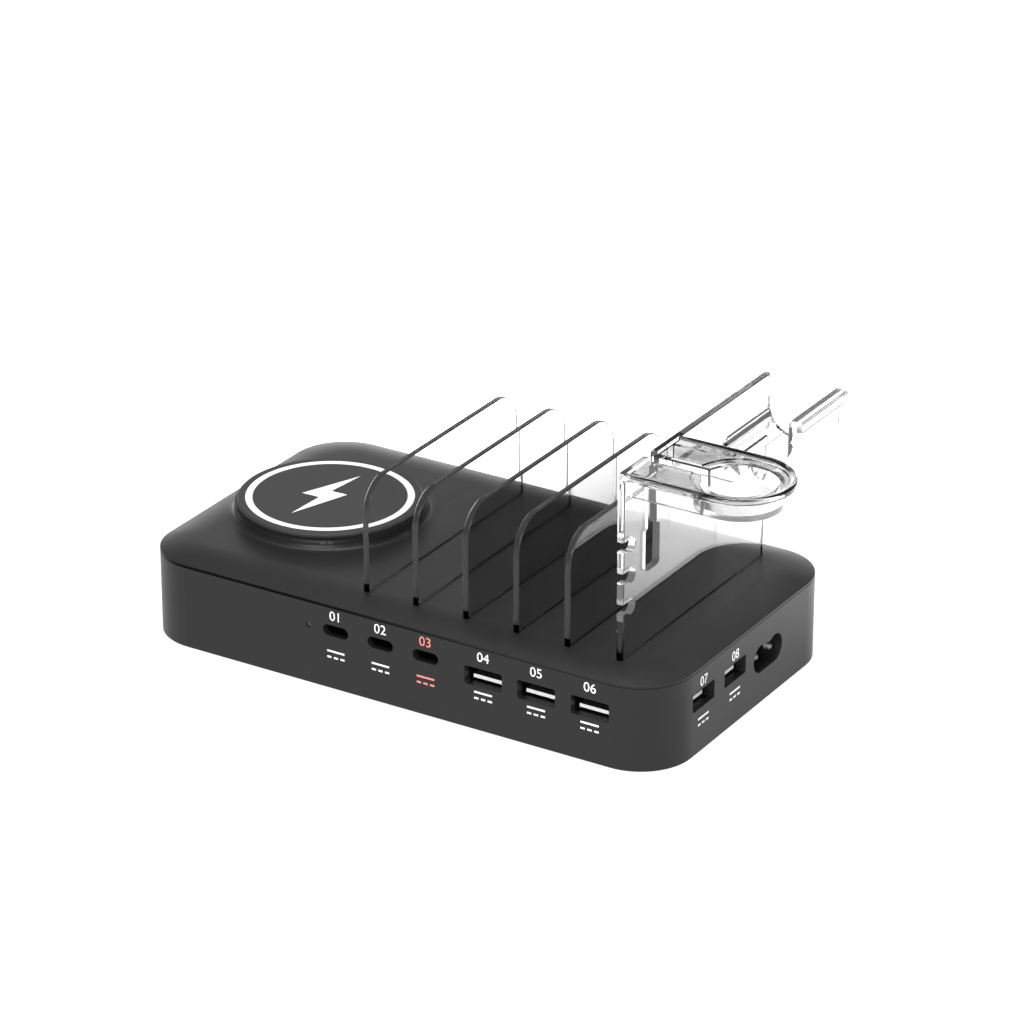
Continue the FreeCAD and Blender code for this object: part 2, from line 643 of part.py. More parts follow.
def clip_cuts():
    """The hooked notches in the upright's front edge that hold a cable."""
    x0 = -STAND_THICKNESS
    run = 2 * STAND_THICKNESS
    y = STAND_FRONT + CLIP_SETBACK
    cuts = []
    for i in range(CLIP_COUNT):
        z = STAND_TOP_Z - CLIP_TOP_DROP - CLIP_PITCH * i
        cuts.append(Part.makeCylinder(CLIP_RADIUS, run, Vector(x0, y, z), X_AXIS))
        cuts.append(block(
            x0, x0 + run, STAND_FRONT - CLIP_SETBACK, y, z - CLIP_RADIUS + CLIP_LIP, z + CLIP_RADIUS))
    return cuts


def window_cuts():
    """The window behind the clips and the channel that leads down to it from the arm."""
    x0 = -STAND_THICKNESS
    x1 = STAND_THICKNESS
    y0 = STAND_FRONT + WINDOW_SETBACK
    top = STAND_TOP_Z - WINDOW_TOP_DROP
    half = CABLE_SLOT / 2
    window = rounded_block(
        x0, x1, y0, y0 + WINDOW_WIDTH, top - WINDOW_HEIGHT, top, WINDOW_ROUND, X_AXIS)
    channel = block(
        x0, STAND_THICKNESS / 2, CUP_Y - half, CUP_Y + half,
        top - WINDOW_ROUND, STAND_TOP_Z + RIM_THICKNESS)
    return [window, channel]


def cradle():
    """The earbud cradle: a round-bottomed channel along Y with a turned-out lip."""
    left = -STAND_THICKNESS / 2
    inside = STAND_THICKNESS / 2
    right = inside + CRADLE_INSIDE
    y0 = CRADLE_FRONT
    y1 = CRADLE_BACK
    floor = STAND_TOP_Z - CRADLE_DEPTH
    outer = rounded_block(
        left, right + CRADLE_WALL, y0, y1, floor - CRADLE_WALL, STAND_TOP_Z + CRADLE_ROUND * 2,
        CRADLE_ROUND + CRADLE_WALL, Y_AXIS)
    hollow = rounded_block(
        inside, right, y0, y1, floor, STAND_TOP_Z + CRADLE_ROUND * 2, CRADLE_ROUND, Y_AXIS)
    above = block(
        left, right + CRADLE_WALL, y0, y1, STAND_TOP_Z, STAND_TOP_Z + CRADLE_ROUND * 2)
    corner = block(left, 0, y0, y1, floor - CRADLE_WALL, STAND_TOP_Z)
    channel = outer.cut([hollow, above]).fuse([corner, cradle_lip(right, y0, y1)]).removeSplitter()
    tops = [e for e in channel.Edges if runs_along(e, Y_AXIS) and e.BoundBox.ZMin > STAND_TOP_Z - TOLERANCE]
    return channel.makeFillet(RIM_ROUND, tops).fuse(cradle_grips(inside, floor))


def cradle_grips(inside, floor):
    """Half-round ribs along the cradle's curved flank."""
    grips = []
    for i in range(GRIP_COUNT):
        turn = math.radians(GRIP_FIRST + GRIP_STEP * i)
        start = Vector(
            inside + CRADLE_ROUND * (1 + math.cos(turn)), CRADLE_FRONT + GRIP_END,
            floor + CRADLE_ROUND * (1 + math.sin(turn)))
        grips.append(Part.makeCylinder(GRIP_RADIUS, CRADLE_LENGTH - 2 * GRIP_END, start, Y_AXIS))
    return grips


def cradle_lip(right, y0, y1):
    """The cradle's turned-out lip, a strip bent over and down."""
    edge = right + CRADLE_WALL + LIP_REACH
    strip = block(right, edge, y0, y1, STAND_TOP_Z - CRADLE_WALL - LIP_TURN, STAND_TOP_Z)
    under = block(right, edge - CRADLE_WALL, y0, y1, strip.BoundBox.ZMin, STAND_TOP_Z - CRADLE_WALL)
    return strip.cut(under)


def clear_stand():
    """The clear moulded stand, drawn with its upright at x = 0 and then moved over its slot."""
    half = STAND_THICKNESS / 2
    plate = block(-half, half, STAND_FRONT, STAND_BACK, SEAT_Z, STAND_TOP_Z)
    rim = [e for e in plate.Edges if e.BoundBox.XLength < TOLERANCE and e.BoundBox.ZMax > SEAT_Z + half]
    plate = plate.makeFillet(RIM_ROUND, rim)
    plate = plate.cut(block(
        -half, half, CRADLE_FRONT, CRADLE_BACK,
        STAND_TOP_Z - CRADLE_DEPTH - CRADLE_WALL, STAND_TOP_Z))
    tongue = block(
        -STAND_TONGUE_HALF, STAND_TONGUE_HALF, -TONGUE_REACH, TONGUE_REACH,
        SEAT_Z - STAND_TONGUE_DEPTH, SEAT_Z)
    body = plate.fuse([tongue, stand_arm(), cradle()])
    stand = body.cut(arm_cuts() + clip_cuts() + window_cuts()).removeSplitter()
    stand.translate(Vector(STAND_X, 0, 0))
    return stand


def front_shell(x, z, width, height, depth, corner):
    """A socket's shell behind the front wall, open to the front."""
    y0 = -INNER_Y + PORT_FRONT_GAP
    y1 = y0 + depth
    outer = rounded_block(
        x - width / 2 - SHELL_WALL, x + width / 2 + SHELL_WALL, y0, y1,
        z - height / 2 - SHELL_WALL, z + height / 2 + SHELL_WALL, corner + SHELL_WALL, Y_AXIS)
    hollow = rounded_block(
        x - width / 2, x + width / 2, y0, y1 - SHELL_WALL,
        z - height / 2, z + height / 2, corner, Y_AXIS)
    return outer.cut(hollow)


def front_insert(x, z, width, height, depth, corner, tongue):
    """A socket's insert: the block at the back of the shell and the tongue that reaches forward."""
    tongue_width, thickness, rise, setback = tongue
    y0 = -INNER_Y + PORT_FRONT_GAP
    back = y0 + depth - SHELL_WALL - INSERT_FIT
    half = width / 2 - INSERT_FIT - corner
    heel = block(
        x - half, x + half, back - PLUG_BLOCK, back,
        z - height / 2 + INSERT_FIT, z + height / 2 - INSERT_FIT)
    blade = block(
        x - tongue_width / 2, x + tongue_width / 2, y0 + setback, back - PLUG_BLOCK,
        z + rise - thickness / 2, z + rise + thickness / 2)
    root = block(
        x - tongue_width / 2, x + tongue_width / 2, back - PLUG_BLOCK, back,
        z + rise - thickness / 2, z + rise + thickness / 2)
    return heel.fuse([blade, root]).removeSplitter()


def to_end(shape, y):
    """Turns a front socket piece drawn at x = 0 to the right end, facing +X at the given y."""
    moved = shape.copy()
    moved.rotate(Vector(0, 0, 0), Z_AXIS, 90)
    moved.translate(Vector(INNER_X - INNER_Y, y, 0))
    return moved


def usb_a_shell(x):
    """A wide socket's shell, with the legs that fix it under the board."""
    shell = front_shell(x, USB_A_Z, USB_A_WIDTH, USB_A_HEIGHT, USB_A_DEPTH, USB_A_ROUND)
    back = -INNER_Y + PORT_FRONT_GAP + USB_A_DEPTH
    top = USB_A_Z + USB_A_HEIGHT / 2 + SHELL_WALL
    outer = USB_A_WIDTH / 2 - USB_A_ROUND
    legs = [
        block(x + a, x + a + LEG_WIDTH, back - LEG_LENGTH, back, top - SHELL_WALL / 2, BOARD_Z)
        for a in (-outer, outer - LEG_WIDTH)
    ]
    return shell.fuse(legs).removeSplitter()


def usb_a_insert(x):
    tongue = (TONGUE_A_WIDTH, TONGUE_A_THICKNESS, -TONGUE_A_DROP, TONGUE_A_SETBACK)
    return front_insert(x, USB_A_Z, USB_A_WIDTH, USB_A_HEIGHT, USB_A_DEPTH, USB_A_ROUND, tongue)


def usb_c_shell(x):
    return front_shell(x, USB_C_Z, USB_C_WIDTH, USB_C_HEIGHT, USB_C_DEPTH, USB_C_ROUND)


def usb_c_insert(x):
    tongue = (TONGUE_C_WIDTH, TONGUE_C_THICKNESS, 0, TONGUE_C_SETBACK)
    return front_insert(x, USB_C_Z, USB_C_WIDTH, USB_C_HEIGHT, USB_C_DEPTH, USB_C_ROUND, tongue)


def inlet_body():
    """The mains inlet's moulding, hung from the board behind its cut-out."""
    x1 = INNER_X - PORT_FRONT_GAP
    x0 = x1 - INLET_DEPTH
    low = INLET_Z - INLET_LOBE_RADIUS - INLET_WALL
    shell = block(x0, x1, INLET_Y - INLET_HALF, INLET_Y + INLET_HALF, low, BOARD_Z)
    shell = shell.common(slab(WALL + PORT_FRONT_GAP, low, BOARD_Z))
    return shell.cut(inlet_hole(x0 + INLET_BACK, x1)).cut(inlet_pin_rods(PIN_RADIUS))


def inlet_pin_rods(radius):
    x1 = INNER_X - PORT_FRONT_GAP - PIN_SETBACK
    x0 = INNER_X - PORT_FRONT_GAP - INLET_DEPTH
    return [
        Part.makeCylinder(
            radius, x1 - x0, Vector(x0, INLET_Y + side * INLET_PIN_SPREAD / 2, INLET_Z), X_AXIS)
        for side in (-1, 1)
    ]


def light_pipe():
    """The indicator's light pipe: a rod in the wall's hole and the block it drops from."""
    y0 = -HALF_WIDTH + LIGHT_SETBACK
    y1 = -INNER_Y + LIGHT_DEPTH
    half = LIGHT_BLOCK / 2
    rod = Part.makeCylinder(LIGHT_RADIUS - LIGHT_FIT, y1 - y0, Vector(LIGHT_X, y0, LIGHT_Z), Y_AXIS)
    lamp = block(LIGHT_X - half, LIGHT_X + half, y1 - LIGHT_BLOCK, y1, LIGHT_Z - half, BOARD_Z)
    return rod.fuse(lamp).removeSplitter()


def port_board():
    """The L-shaped board over the sockets of the front row and the right end."""
    front = -INNER_Y + PORT_FRONT_GAP
    left = LIGHT_X - BOARD_MARGIN
    right = INNER_X - PORT_FRONT_GAP
    corner_x = FRONT_A_XS[-1] + SHELL_HALF
    corner_y = END_A_YS[0] - SHELL_HALF
    z1 = BOARD_Z + BOARD_THICKNESS
    row = block(left, corner_x, front, PORT_ROW_BACK, BOARD_Z, z1)
    end = block(PORT_BACK_X, right, corner_y, INLET_Y + INLET_HALF, BOARD_Z, z1)
    link = block(corner_x, right, corner_y, PORT_ROW_BACK, BOARD_Z, z1)
    holes = [post(PILLAR_BORE + SCREW_FIT, x, y, BOARD_Z, z1) for x, y in pillar_spots()]
    board = row.fuse([end, link]).common(slab(WALL + PORT_FRONT_GAP, BOARD_Z, z1))
    return board.cut(holes).removeSplitter()


def small_screws(spots, seat_z, bite):
    """Board screws: a head on the board and a shank into the pillar below."""
    shank = PILLAR_BORE - SCREW_FIT / 2
    screws = []
    for x, y in spots:
        head = post(BOARD_SCREW_HEAD_RADIUS, x, y, seat_z, seat_z + BOARD_SCREW_HEAD_HEIGHT)
        screws.append(head.fuse(post(shank, x, y, seat_z - bite, seat_z)))
    return screws


def housing_screws():
    """Screws behind the feet, up through the bosses into the cover's posts."""
    seat = BOSS_TOP_Z - SCREW_SEAT
    screws = []
    for x, y in FOOT_SPOTS:
        head = post(SCREW_HEAD_RADIUS, x, y, seat - SCREW_HEAD_HEIGHT, seat)
        shank = post(SCREW_RADIUS - SCREW_FIT / 2, x, y, seat, BOSS_TOP_Z + SCREW_BITE)
        screws.append(head.fuse(shank))
    return screws


def rubber_feet():
    return [post(FOOT_RADIUS, x, y, 0, UNDERSIDE_Z + FOOT_RECESS) for x, y in FOOT_SPOTS]


def power_board():
    x0, x1 = POWER_BOARD_ENDS
    board = block(x0, x1, POWER_BOARD_FRONT, POWER_BOARD_BACK, POWER_Z, PARTS_Z)
    return board.cut([post(PILLAR_BORE + SCREW_FIT, x, y, POWER_Z, PARTS_Z) for x, y in standoff_spots()])


def core_windows(shrink, overhang):
    """The two windows of the transformer's core, drawn in by a fit and run past its faces."""
    half_leg = CORE_LEG / 2
    outer = CORE_LENGTH / 2 - CORE_SIDE_LEG
    run = CORE_DEPTH / 2 + overhang
    return [
        block(
            CORE_X + x0 + shrink, CORE_X + x1 - shrink, POWER_Y - run, POWER_Y + run,
            PARTS_Z + CORE_YOKE + shrink, PARTS_Z + CORE_HEIGHT - CORE_YOKE - shrink)
        for x0, x1 in ((-outer, -half_leg), (half_leg, outer))
    ]


def transformer_core():
    core = block(
        CORE_X - CORE_LENGTH / 2, CORE_X + CORE_LENGTH / 2,
        POWER_Y - CORE_DEPTH / 2, POWER_Y + CORE_DEPTH / 2, PARTS_Z, PARTS_Z + CORE_HEIGHT)
    return core.cut(core_windows(0, 0))


def transformer_winding():
    """The winding: two runs through the windows joined round both faces of the middle leg."""
    runs = core_windows(WINDING_FIT, WINDING_OVERHANG)
    half = CORE_LEG / 2 + WINDING_FIT
    y0 = CORE_DEPTH / 2 + WINDING_FIT
    y1 = CORE_DEPTH / 2 + WINDING_OVERHANG
    z0 = PARTS_Z + CORE_YOKE + WINDING_FIT
    z1 = PARTS_Z + CORE_HEIGHT - CORE_YOKE - WINDING_FIT
    turns = [
        block(CORE_X - half, CORE_X + half, POWER_Y + a, POWER_Y + b, z0, z1)
        for a, b in ((-y1, -y0), (y0, y1))
    ]
    return runs[0].fuse(runs[1:] + turns).removeSplitter()


def filter_capacitors():
    """Round capacitors lying on the board, each with a crimp groove near its end."""
    start = POWER_Y - CAPACITOR_PITCH * (CAPACITOR_COUNT - 1) / 2
    cans = []
    for i in range(CAPACITOR_COUNT):
        y0 = start + CAPACITOR_PITCH * i - CAPACITOR_LENGTH / 2
        place = Vector(CAPACITOR_X, y0, PARTS_Z + CAPACITOR_RADIUS)
        can = Part.makeCylinder(CAPACITOR_RADIUS, CAPACITOR_LENGTH, place, Y_AXIS)
        crimp_place = place + Vector(0, CAPACITOR_GROOVE_WIDTH, 0)
        outer = Part.makeCylinder(CAPACITOR_RADIUS * 2, CAPACITOR_GROOVE_WIDTH, crimp_place, Y_AXIS)
        inner = Part.makeCylinder(
            CAPACITOR_RADIUS - CAPACITOR_GROOVE, CAPACITOR_GROOVE_WIDTH, crimp_place, Y_AXIS)
        cans.append(can.cut(outer.cut(inner)))
    return cans


def line_choke():
    """A ring choke lying flat on the board beyond the capacitors."""
    return ring(CHOKE_RADIUS, CHOKE_BORE, CHOKE_X, POWER_Y, PARTS_Z, PARTS_Z + 2 * CHOKE_WIRE)


def heat_sink():
    """A finned plate on the board under the dividers."""
    x0, x1 = SINK_ENDS
    base = block(
        x0, x1, POWER_Y - SINK_DEPTH / 2, POWER_Y + SINK_DEPTH / 2, PARTS_Z, PARTS_Z + SINK_BASE)
    step = (x1 - x0 - SINK_FIN_THICKNESS) / (SINK_FINS - 1)
    fins = [
        block(
            x0 + step * i, x0 + step * i + SINK_FIN_THICKNESS,
            POWER_Y - SINK_DEPTH / 2, POWER_Y + SINK_DEPTH / 2, PARTS_Z + SINK_BASE, PARTS_Z + SINK_HEIGHT)
        for i in range(SINK_FINS)
    ]
    return base.fuse(fins).removeSplitter()


def all_pieces():
    """Every node of the part, by name."""
    pieces = {
        "lower_tub": lower_tub(),
        "top_cover": top_cover(),
        "rubber_feet": rubber_feet(),
        "housing_screws": housing_screws(),
        "pad_cap": pad_cap(),
        "pad_ring": pad_ring(),
        "coil_tray": coil_tray(),
        "ferrite_disc": ferrite_disc(),
        "charging_coil": charging_coil(),
        "clear_stand": clear_stand(),
        "inlet_body": inlet_body(),
        "inlet_pins": inlet_pin_rods(PIN_RADIUS),
        "light_pipe": light_pipe(),
        "port_board": port_board(),
        "port_board_screws": small_screws(
            pillar_spots(), BOARD_Z + BOARD_THICKNESS, BOARD_SCREW_BITE),
        "power_board": power_board(),
        "power_board_screws": small_screws(
            standoff_spots(), PARTS_Z, BOARD_THICKNESS + STANDOFF_HEIGHT - SCREW_FIT),
        "transformer_core": transformer_core(),
        "transformer_winding": transformer_winding(),
        "filter_capacitors": filter_capacitors(),
        "line_choke": line_choke(),
        "heat_sink": heat_sink(),
    }
    for i, x in enumerate(DIVIDER_XS, 1):
        pieces[f"divider_{i}"] = divider(x)
    for i, x in enumerate(FRONT_C_XS, 1):
        pieces[f"usb_c_shell_{i}"] = usb_c_shell(x)
        pieces[f"usb_c_insert_{i}"] = usb_c_insert(x)
    for i, x in enumerate(FRONT_A_XS, 1):
        pieces[f"usb_a_shell_{i}"] = usb_a_shell(x)
        pieces[f"usb_a_insert_{i}"] = usb_a_insert(x)
    for i, y in enumerate(END_A_YS, USB_A_FRONT_COUNT + 1):
        pieces[f"usb_a_shell_{i}"] = to_end(usb_a_shell(0), y)
        pieces[f"usb_a_insert_{i}"] = to_end(usb_a_insert(0), y)
    return pieces


def write(name, piece):
    """Writes one node, moved so that the part's box stands centred on its origin."""
    solids = piece if isinstance(piece, list) else [piece]
    shape = Part.makeCompound(solids) if len(solids) > 1 else solids[0]
    shape.translate(Vector(-ORIGIN_X, 0, 0))
    shape.exportStep(f"parts/{name}.step")


os.makedirs("parts", exist_ok=True)
for node, piece in all_pieces().items():
    write(node, piece)
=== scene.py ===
"""Looks of a desk charging station: finishes, printed marks, contacts, studio light and camera."""
import math
from collections import namedtuple

import bmesh
import bpy
from mathutils import Matrix, Vector


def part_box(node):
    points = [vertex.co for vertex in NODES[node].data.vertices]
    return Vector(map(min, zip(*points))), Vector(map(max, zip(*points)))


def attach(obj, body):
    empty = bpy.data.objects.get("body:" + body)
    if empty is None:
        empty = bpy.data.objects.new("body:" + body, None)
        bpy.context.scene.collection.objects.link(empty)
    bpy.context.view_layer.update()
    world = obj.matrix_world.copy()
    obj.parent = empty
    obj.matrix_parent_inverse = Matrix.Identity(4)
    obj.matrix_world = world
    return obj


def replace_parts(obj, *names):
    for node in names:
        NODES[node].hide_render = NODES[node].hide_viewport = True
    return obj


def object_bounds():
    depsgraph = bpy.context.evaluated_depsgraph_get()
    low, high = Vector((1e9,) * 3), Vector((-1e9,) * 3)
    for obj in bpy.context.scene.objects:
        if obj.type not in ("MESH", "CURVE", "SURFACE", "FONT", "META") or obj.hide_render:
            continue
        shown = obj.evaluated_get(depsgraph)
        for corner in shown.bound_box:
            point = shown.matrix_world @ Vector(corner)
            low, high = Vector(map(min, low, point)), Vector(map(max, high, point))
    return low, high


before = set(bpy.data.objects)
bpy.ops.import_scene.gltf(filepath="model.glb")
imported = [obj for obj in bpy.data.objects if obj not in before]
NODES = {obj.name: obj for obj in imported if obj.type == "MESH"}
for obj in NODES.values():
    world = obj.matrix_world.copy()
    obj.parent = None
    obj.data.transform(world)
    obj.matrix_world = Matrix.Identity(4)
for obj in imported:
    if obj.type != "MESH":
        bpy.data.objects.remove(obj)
CAD_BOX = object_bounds()
MM = 0.001

# Boxes in the frame that the looks follow, each as its lowest and highest corner
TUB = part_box("lower_tub")
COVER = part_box("top_cover")
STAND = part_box("clear_stand")
BROAD_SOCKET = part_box("usb_a_shell_1")
BROAD_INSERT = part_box("usb_a_insert_1")

# Camera, fitted to the housing's outline in the photograph
CAMERA_PLACE = (0.65781, -1.07623, 0.63279)
CAMERA_TILT = math.radians(65.086)
CAMERA_YAW = math.radians(31.570)
CAMERA_LENS = 161.13

# Soft lamps: place, target, size and how bright each one looks
SOFTBOXES = {
    "top_box": ((0.0, -0.1, 1.5), (0, 0, 0), (1.0, 1.0), 7.5),
    "front_fill": ((0.3, -1.0, 0.45), (0, 0, 0.02), (0.6, 0.4), 14.0),
    "end_fill": ((1.1, -0.35, 0.35), (0.08, 0, 0.02), (0.4, 0.3), 9.0),
    "back_screen": ((-0.25, 0.45, 0.12), (-0.05, 0, 0.12), (0.9, 0.24), 1.25),
    "back_wall": ((-0.3, 0.9, 0.55), (0, 0, 0.05), (1.6, 0.7), 0.1),
}
SKY_STRENGTH = 0.22

# How often light may pass the clear pieces
CLEAR_BOUNCES = 24

# Floor: half its width, and its glow as shares of its strength
FLOOR_REACH = 6.0
FLOOR_STRENGTH = 2.9
FLOOR_GLOW = 0.34
FLOOR_FAR = 0.03

# Where the floor's glow rises or falls, from the first value to the second: to the right behind the object,
# to the left behind it, and, as squares of the distance from it, round about it
RIGHT_WAY = (0.8, 0.6)
RIGHT_RISE = (0.085, 0.17)
RIGHT_FALL = (0.25, 0.12)
LEFT_BEHIND = (0.06, 0.10)
LEFT_ASIDE = (-0.02, -0.05)
NEAR_FALL = (0.70, 0.30)

# Which way a face looks: for narrow edges and level faces the square of its normal's part along an axis,
# for the front the part itself
NARROW_FACING = 0.75
LEVEL_FACING = 0.5
FRONT_FACING = -0.5

# Moulded surfaces: the size of the slow clouds, and what clouds and grain do to the gloss and the relief
CLOUD_SCALE = 45.0
CLOUD_GLOSS = 0.08
GRAIN_GLOSS = 0.10
GRAIN_RELIEF = 0.25
# Black of painted shade, in the front seam and at the feet of clear pieces
PAINTED_SHADE_BLACK = 0.004

# Metals: what their uneven sheen does to the gloss and the relief
SHEEN_GLOSS = 0.2
SHEEN_RELIEF = 0.1
SHEEN_DEPTH = 0.01 * MM

# Painted shade along the front seam, from the tub's groove up to the cover's crease, that fades out to the
# right
SEAM_SHADE_BAND = (TUB[1].z - 0.3 * MM, TUB[1].z + 0.65 * MM)
SEAM_SHADE_RUN = (TUB[1].x - 25.0 * MM, TUB[1].x - 130.0 * MM)

# The cover: how far the pad's pedestal rises over its level top, and how it rolls down to its left edge
PEDESTAL_RISE = 3.3 * MM
COVER_TOP = COVER[1].z - PEDESTAL_RISE
ROLL_WIDTH = 12.0 * MM
ROLL_DROP = 2.2 * MM

# Foot of the pad on the cover: its first and last radius, its top, how it spreads and falls, and the slack
# by which a corner counts as lying on it
FOOT_RADII = (29.4 * MM, 33.2 * MM)
FOOT_TOP = COVER[1].z - 0.6 * MM
FOOT_SPREAD = 2.0
FOOT_FALL = 3.5
FOOT_SLACK = 0.02 * MM
MERGE_DISTANCE = 0.001 * MM

# All clear pieces: soles that rest on the cover and heels just above it, both painted black as painted
# shade, and the slow flow in the plastic
SOLE_LEVEL = COVER_TOP + 0.3 * MM
HEEL_BAND = (COVER_TOP - 0.05 * MM, COVER_TOP + 2.7 * MM)
FLOW_SCALE = 60.0
FLOW_TINT = 1.04
FLOW_GLOSS = 0.012
CLEAR_GLOSS = 0.004

# Dividers: the tint from the clearest to the darkest, painted shade over what is seen through the dividers
# further right, and the look of their cut edges, with painted glow
CLEAREST = 0.96
THROUGH_SHADE_TINT = 0.50
THROUGH_SHADE_FADE = 0.35
PLATE_FROST = 0.24
PLATE_PAINTED_GLOW = 0.03
BACK_CORNER = 14.0 * MM
BACK_RIM = 0.55

# Stand: where its beads, clips, window, cup and cradle are, and half the length of its tongue
BEAD_LEVEL = STAND[1].z - 2.1 * MM
ARM_BACK = STAND[0].y + 34.4 * MM
CUP_UNDERSIDE = (STAND[1].z - 8.9 * MM, STAND[1].z - 8.3 * MM)
CLIP_Z = (COVER_TOP + 12.8 * MM, COVER_TOP + 38.8 * MM)
CLIP_BACK = STAND[0].y + 7.6 * MM
WINDOW_Y = (STAND[0].y + 12.7 * MM, STAND[0].y + 21.2 * MM)
WINDOW_Z = (COVER_TOP + 23.4 * MM, STAND[1].z - 2.7 * MM)
CRADLE_END = (STAND[1].y - 29.0 * MM, STAND[1].y - 28.8 * MM)
RIBBED_X = (STAND[0].x + 2.5 * MM, STAND[0].x + 6.1 * MM)
RIBBED_Z = (STAND[1].z - 15.9 * MM, STAND[1].z - 10.0 * MM)
RIBBED_FRONT = STAND[1].y - 27.4 * MM
STAND_TONGUE_REACH = 25.0 * MM

# Stand: its tints, how dull it is, and the painted glow of its narrow faces
STAND_TINT = 0.86
STAND_RIM = 0.34
RIBBED_TINT = 0.35
BEAD_FROST = 0.30
CUP_FROST = 0.12
BEAD_PAINTED_GLOW = 0.05
CLIP_PAINTED_GLOW = 0.16
WINDOW_PAINTED_GLOW = 0.10
CRADLE_PAINTED_GLOW = 0.16
RIBBED_PAINTED_GLOW = 0.14

# Print on the housing: numbers over the sockets and signs under them, a little lower on the right end
PRINT_RAISE = 0.03 * MM
PRINT_GAP = 2.65 * MM
NUMBER_HEIGHT = 4.4 * MM
NUMBER_ROW = BROAD_SOCKET[1].z + PRINT_GAP
SIGN_ROW = BROAD_SOCKET[0].z - PRINT_GAP
END_ROW_DROP = 1.4 * MM
SIGN_WIDTH = 6.2 * MM
SIGN_GAP = 2.0 * MM
SIGN_STROKE = 0.6 * MM
SIGN_DASHES = 3
SIGN_DASH_SHARE = 0.24
CORAL_PORT = 2

# Lightning bolt on the pad, in shares of the ring's outer radius, seen from above
BOLT_OUTLINE = [
    (0.02, 0.66), (-0.31, -0.11), (-0.07, -0.10), (-0.10, -0.65), (0.18, 0.13), (-0.04, 0.12)]

# Rounded ends of the inlet's pins, behind the face
PIN_RADIUS = 1.2 * MM
PIN_SETBACK = 1.2 * MM
PIN_SLACK = 0.12 * MM
PIN_SEGMENTS = 24

# Tongues of the broad sockets, behind the face, how far their white tip runs before the painted shade
# behind it, and the spring contacts on them
SOCKET_TONGUE_DROP = 1.15 * MM
SOCKET_TONGUE_FRONT = BROAD_INSERT[0].y - CAD_BOX[0].y
SOCKET_TONGUE_LIT = 0.25 * MM
STRIP_COUNT = 4
STRIP_PITCH = 2.3 * MM
STRIP_SETBACK = 2.0 * MM
STRIP_SIZE = Vector((1.1, 5.0, 0.08)) * MM

# The two faces with sockets, as the place and turn of a flat print that faces the front, and their sockets
FRONT_FACE = Matrix.Translation((0, CAD_BOX[0].y, 0))
END_FACE = Matrix.Translation((TUB[1].x, 0, 0)) @ Matrix.Rotation(math.pi / 2, 4, "Z")
NARROW_SOCKETS = ["usb_c_shell_%d" % number for number in (1, 2, 3)]
BROAD_SOCKETS = ["usb_a_shell_%d" % number for number in (1, 2, 3)]
FRONT_SOCKETS = NARROW_SOCKETS + BROAD_SOCKETS
END_SOCKETS = ["usb_a_shell_%d" % number for number in (4, 5)]


class Wire:
    """One socket of a node tree. Arithmetic with it adds Math nodes to the same tree."""

    def __init__(self, recipe, socket):
        self.recipe = recipe
        self.socket = socket

    def math(self, operation, first, second):
        return self.recipe.node("ShaderNodeMath", {"operation": operation}, {0: first, 1: second})

    def __add__(self, other):
        return self.math("ADD", self, other)

    def __sub__(self, other):
        return self.math("SUBTRACT", self, other)

    def __rsub__(self, other):
        return self.math("SUBTRACT", other, self)

    def __mul__(self, other):
        return self.math("MULTIPLY", self, other)

    def __lt__(self, other):
        return self.math("LESS_THAN", self, other)

    def __gt__(self, other):
        return self.math("GREATER_THAN", self, other)

    __radd__ = __add__
    __rmul__ = __mul__


class Recipe:
    """A node tree that grows by one node at a time."""

    def __init__(self, tree):
        self.tree = tree
        self.tree.nodes.clear()

    def node(self, kind, settings, sockets, output=0):
        """Adds a node: first its settings, then its sockets' values or links, a list for many links."""
        made = self.tree.nodes.new(kind)
        for name, value in settings.items():
            setattr(made, name, value)
        for key, value in sockets.items():
            for item in value if isinstance(value, list) else [value]:
                if isinstance(item, Wire):
                    self.tree.links.new(item.socket, made.inputs[key])
                else:
                    made.inputs[key].default_value = item
        return Wire(self, made.outputs[output]) if made.outputs else None


class Finish(Recipe):
    """A material's recipe, on the object's own coordinates."""

    def __init__(self, name):
        self.material = bpy.data.materials.new(name)
        self.material.use_nodes = True
        super().__init__(self.material.node_tree)
        self.place = self.node("ShaderNodeTexCoord", {}, {}, "Object")

    def noise(self, scale, detail=2.0, roughness=0.5):
        return self.node(
            "ShaderNodeTexNoise", {},
            {"Vector": self.place, "Scale": scale, "Detail": detail, "Roughness": roughness}, "Fac")

    def along(self, axis):
        """The place along an axis of the object."""
        return self.node("ShaderNodeSeparateXYZ", {}, {0: self.place}, axis)

    def facing(self, axis):
        """How far a face itself looks along an axis, from -1 to 1."""
        normal = self.node("ShaderNodeNewGeometry", {}, {}, "True Normal")
        return self.node("ShaderNodeSeparateXYZ", {}, {0: normal}, axis)

    def narrow(self):
        """A mask of the faces that don't look to the sides: the edges of an upright plate."""
        sideways = self.facing("X")
        return sideways * sideways < NARROW_FACING

    def level(self):
        """A mask of the faces that look up or down."""
        upright = self.facing("Z")
        return upright * upright > LEVEL_FACING

    def blend(self, share, first, second):
        """Mixes two colours."""
        return self.node("ShaderNodeMix", {"data_type": "RGBA"}, {0: share, 6: first, 7: second}, 2)

    def step(self, value, start, stop):
        """A smooth step from 0 at one value to 1 at the other."""
        return self.node(
            "ShaderNodeMapRange", {"interpolation_type": "SMOOTHSTEP"},
            {"Value": value, "From Min": start, "From Max": stop})

    def bump(self, height, strength, depth):
        return self.node(
            "ShaderNodeBump", {}, {"Strength": strength, "Distance": depth, "Height": height}, "Normal")

    def principled(self, sockets):
        return self.node("ShaderNodeBsdfPrincipled", {}, sockets, "BSDF")

    def close(self, shader):
        self.node("ShaderNodeOutputMaterial", {}, {"Surface": shader})
        return self.material


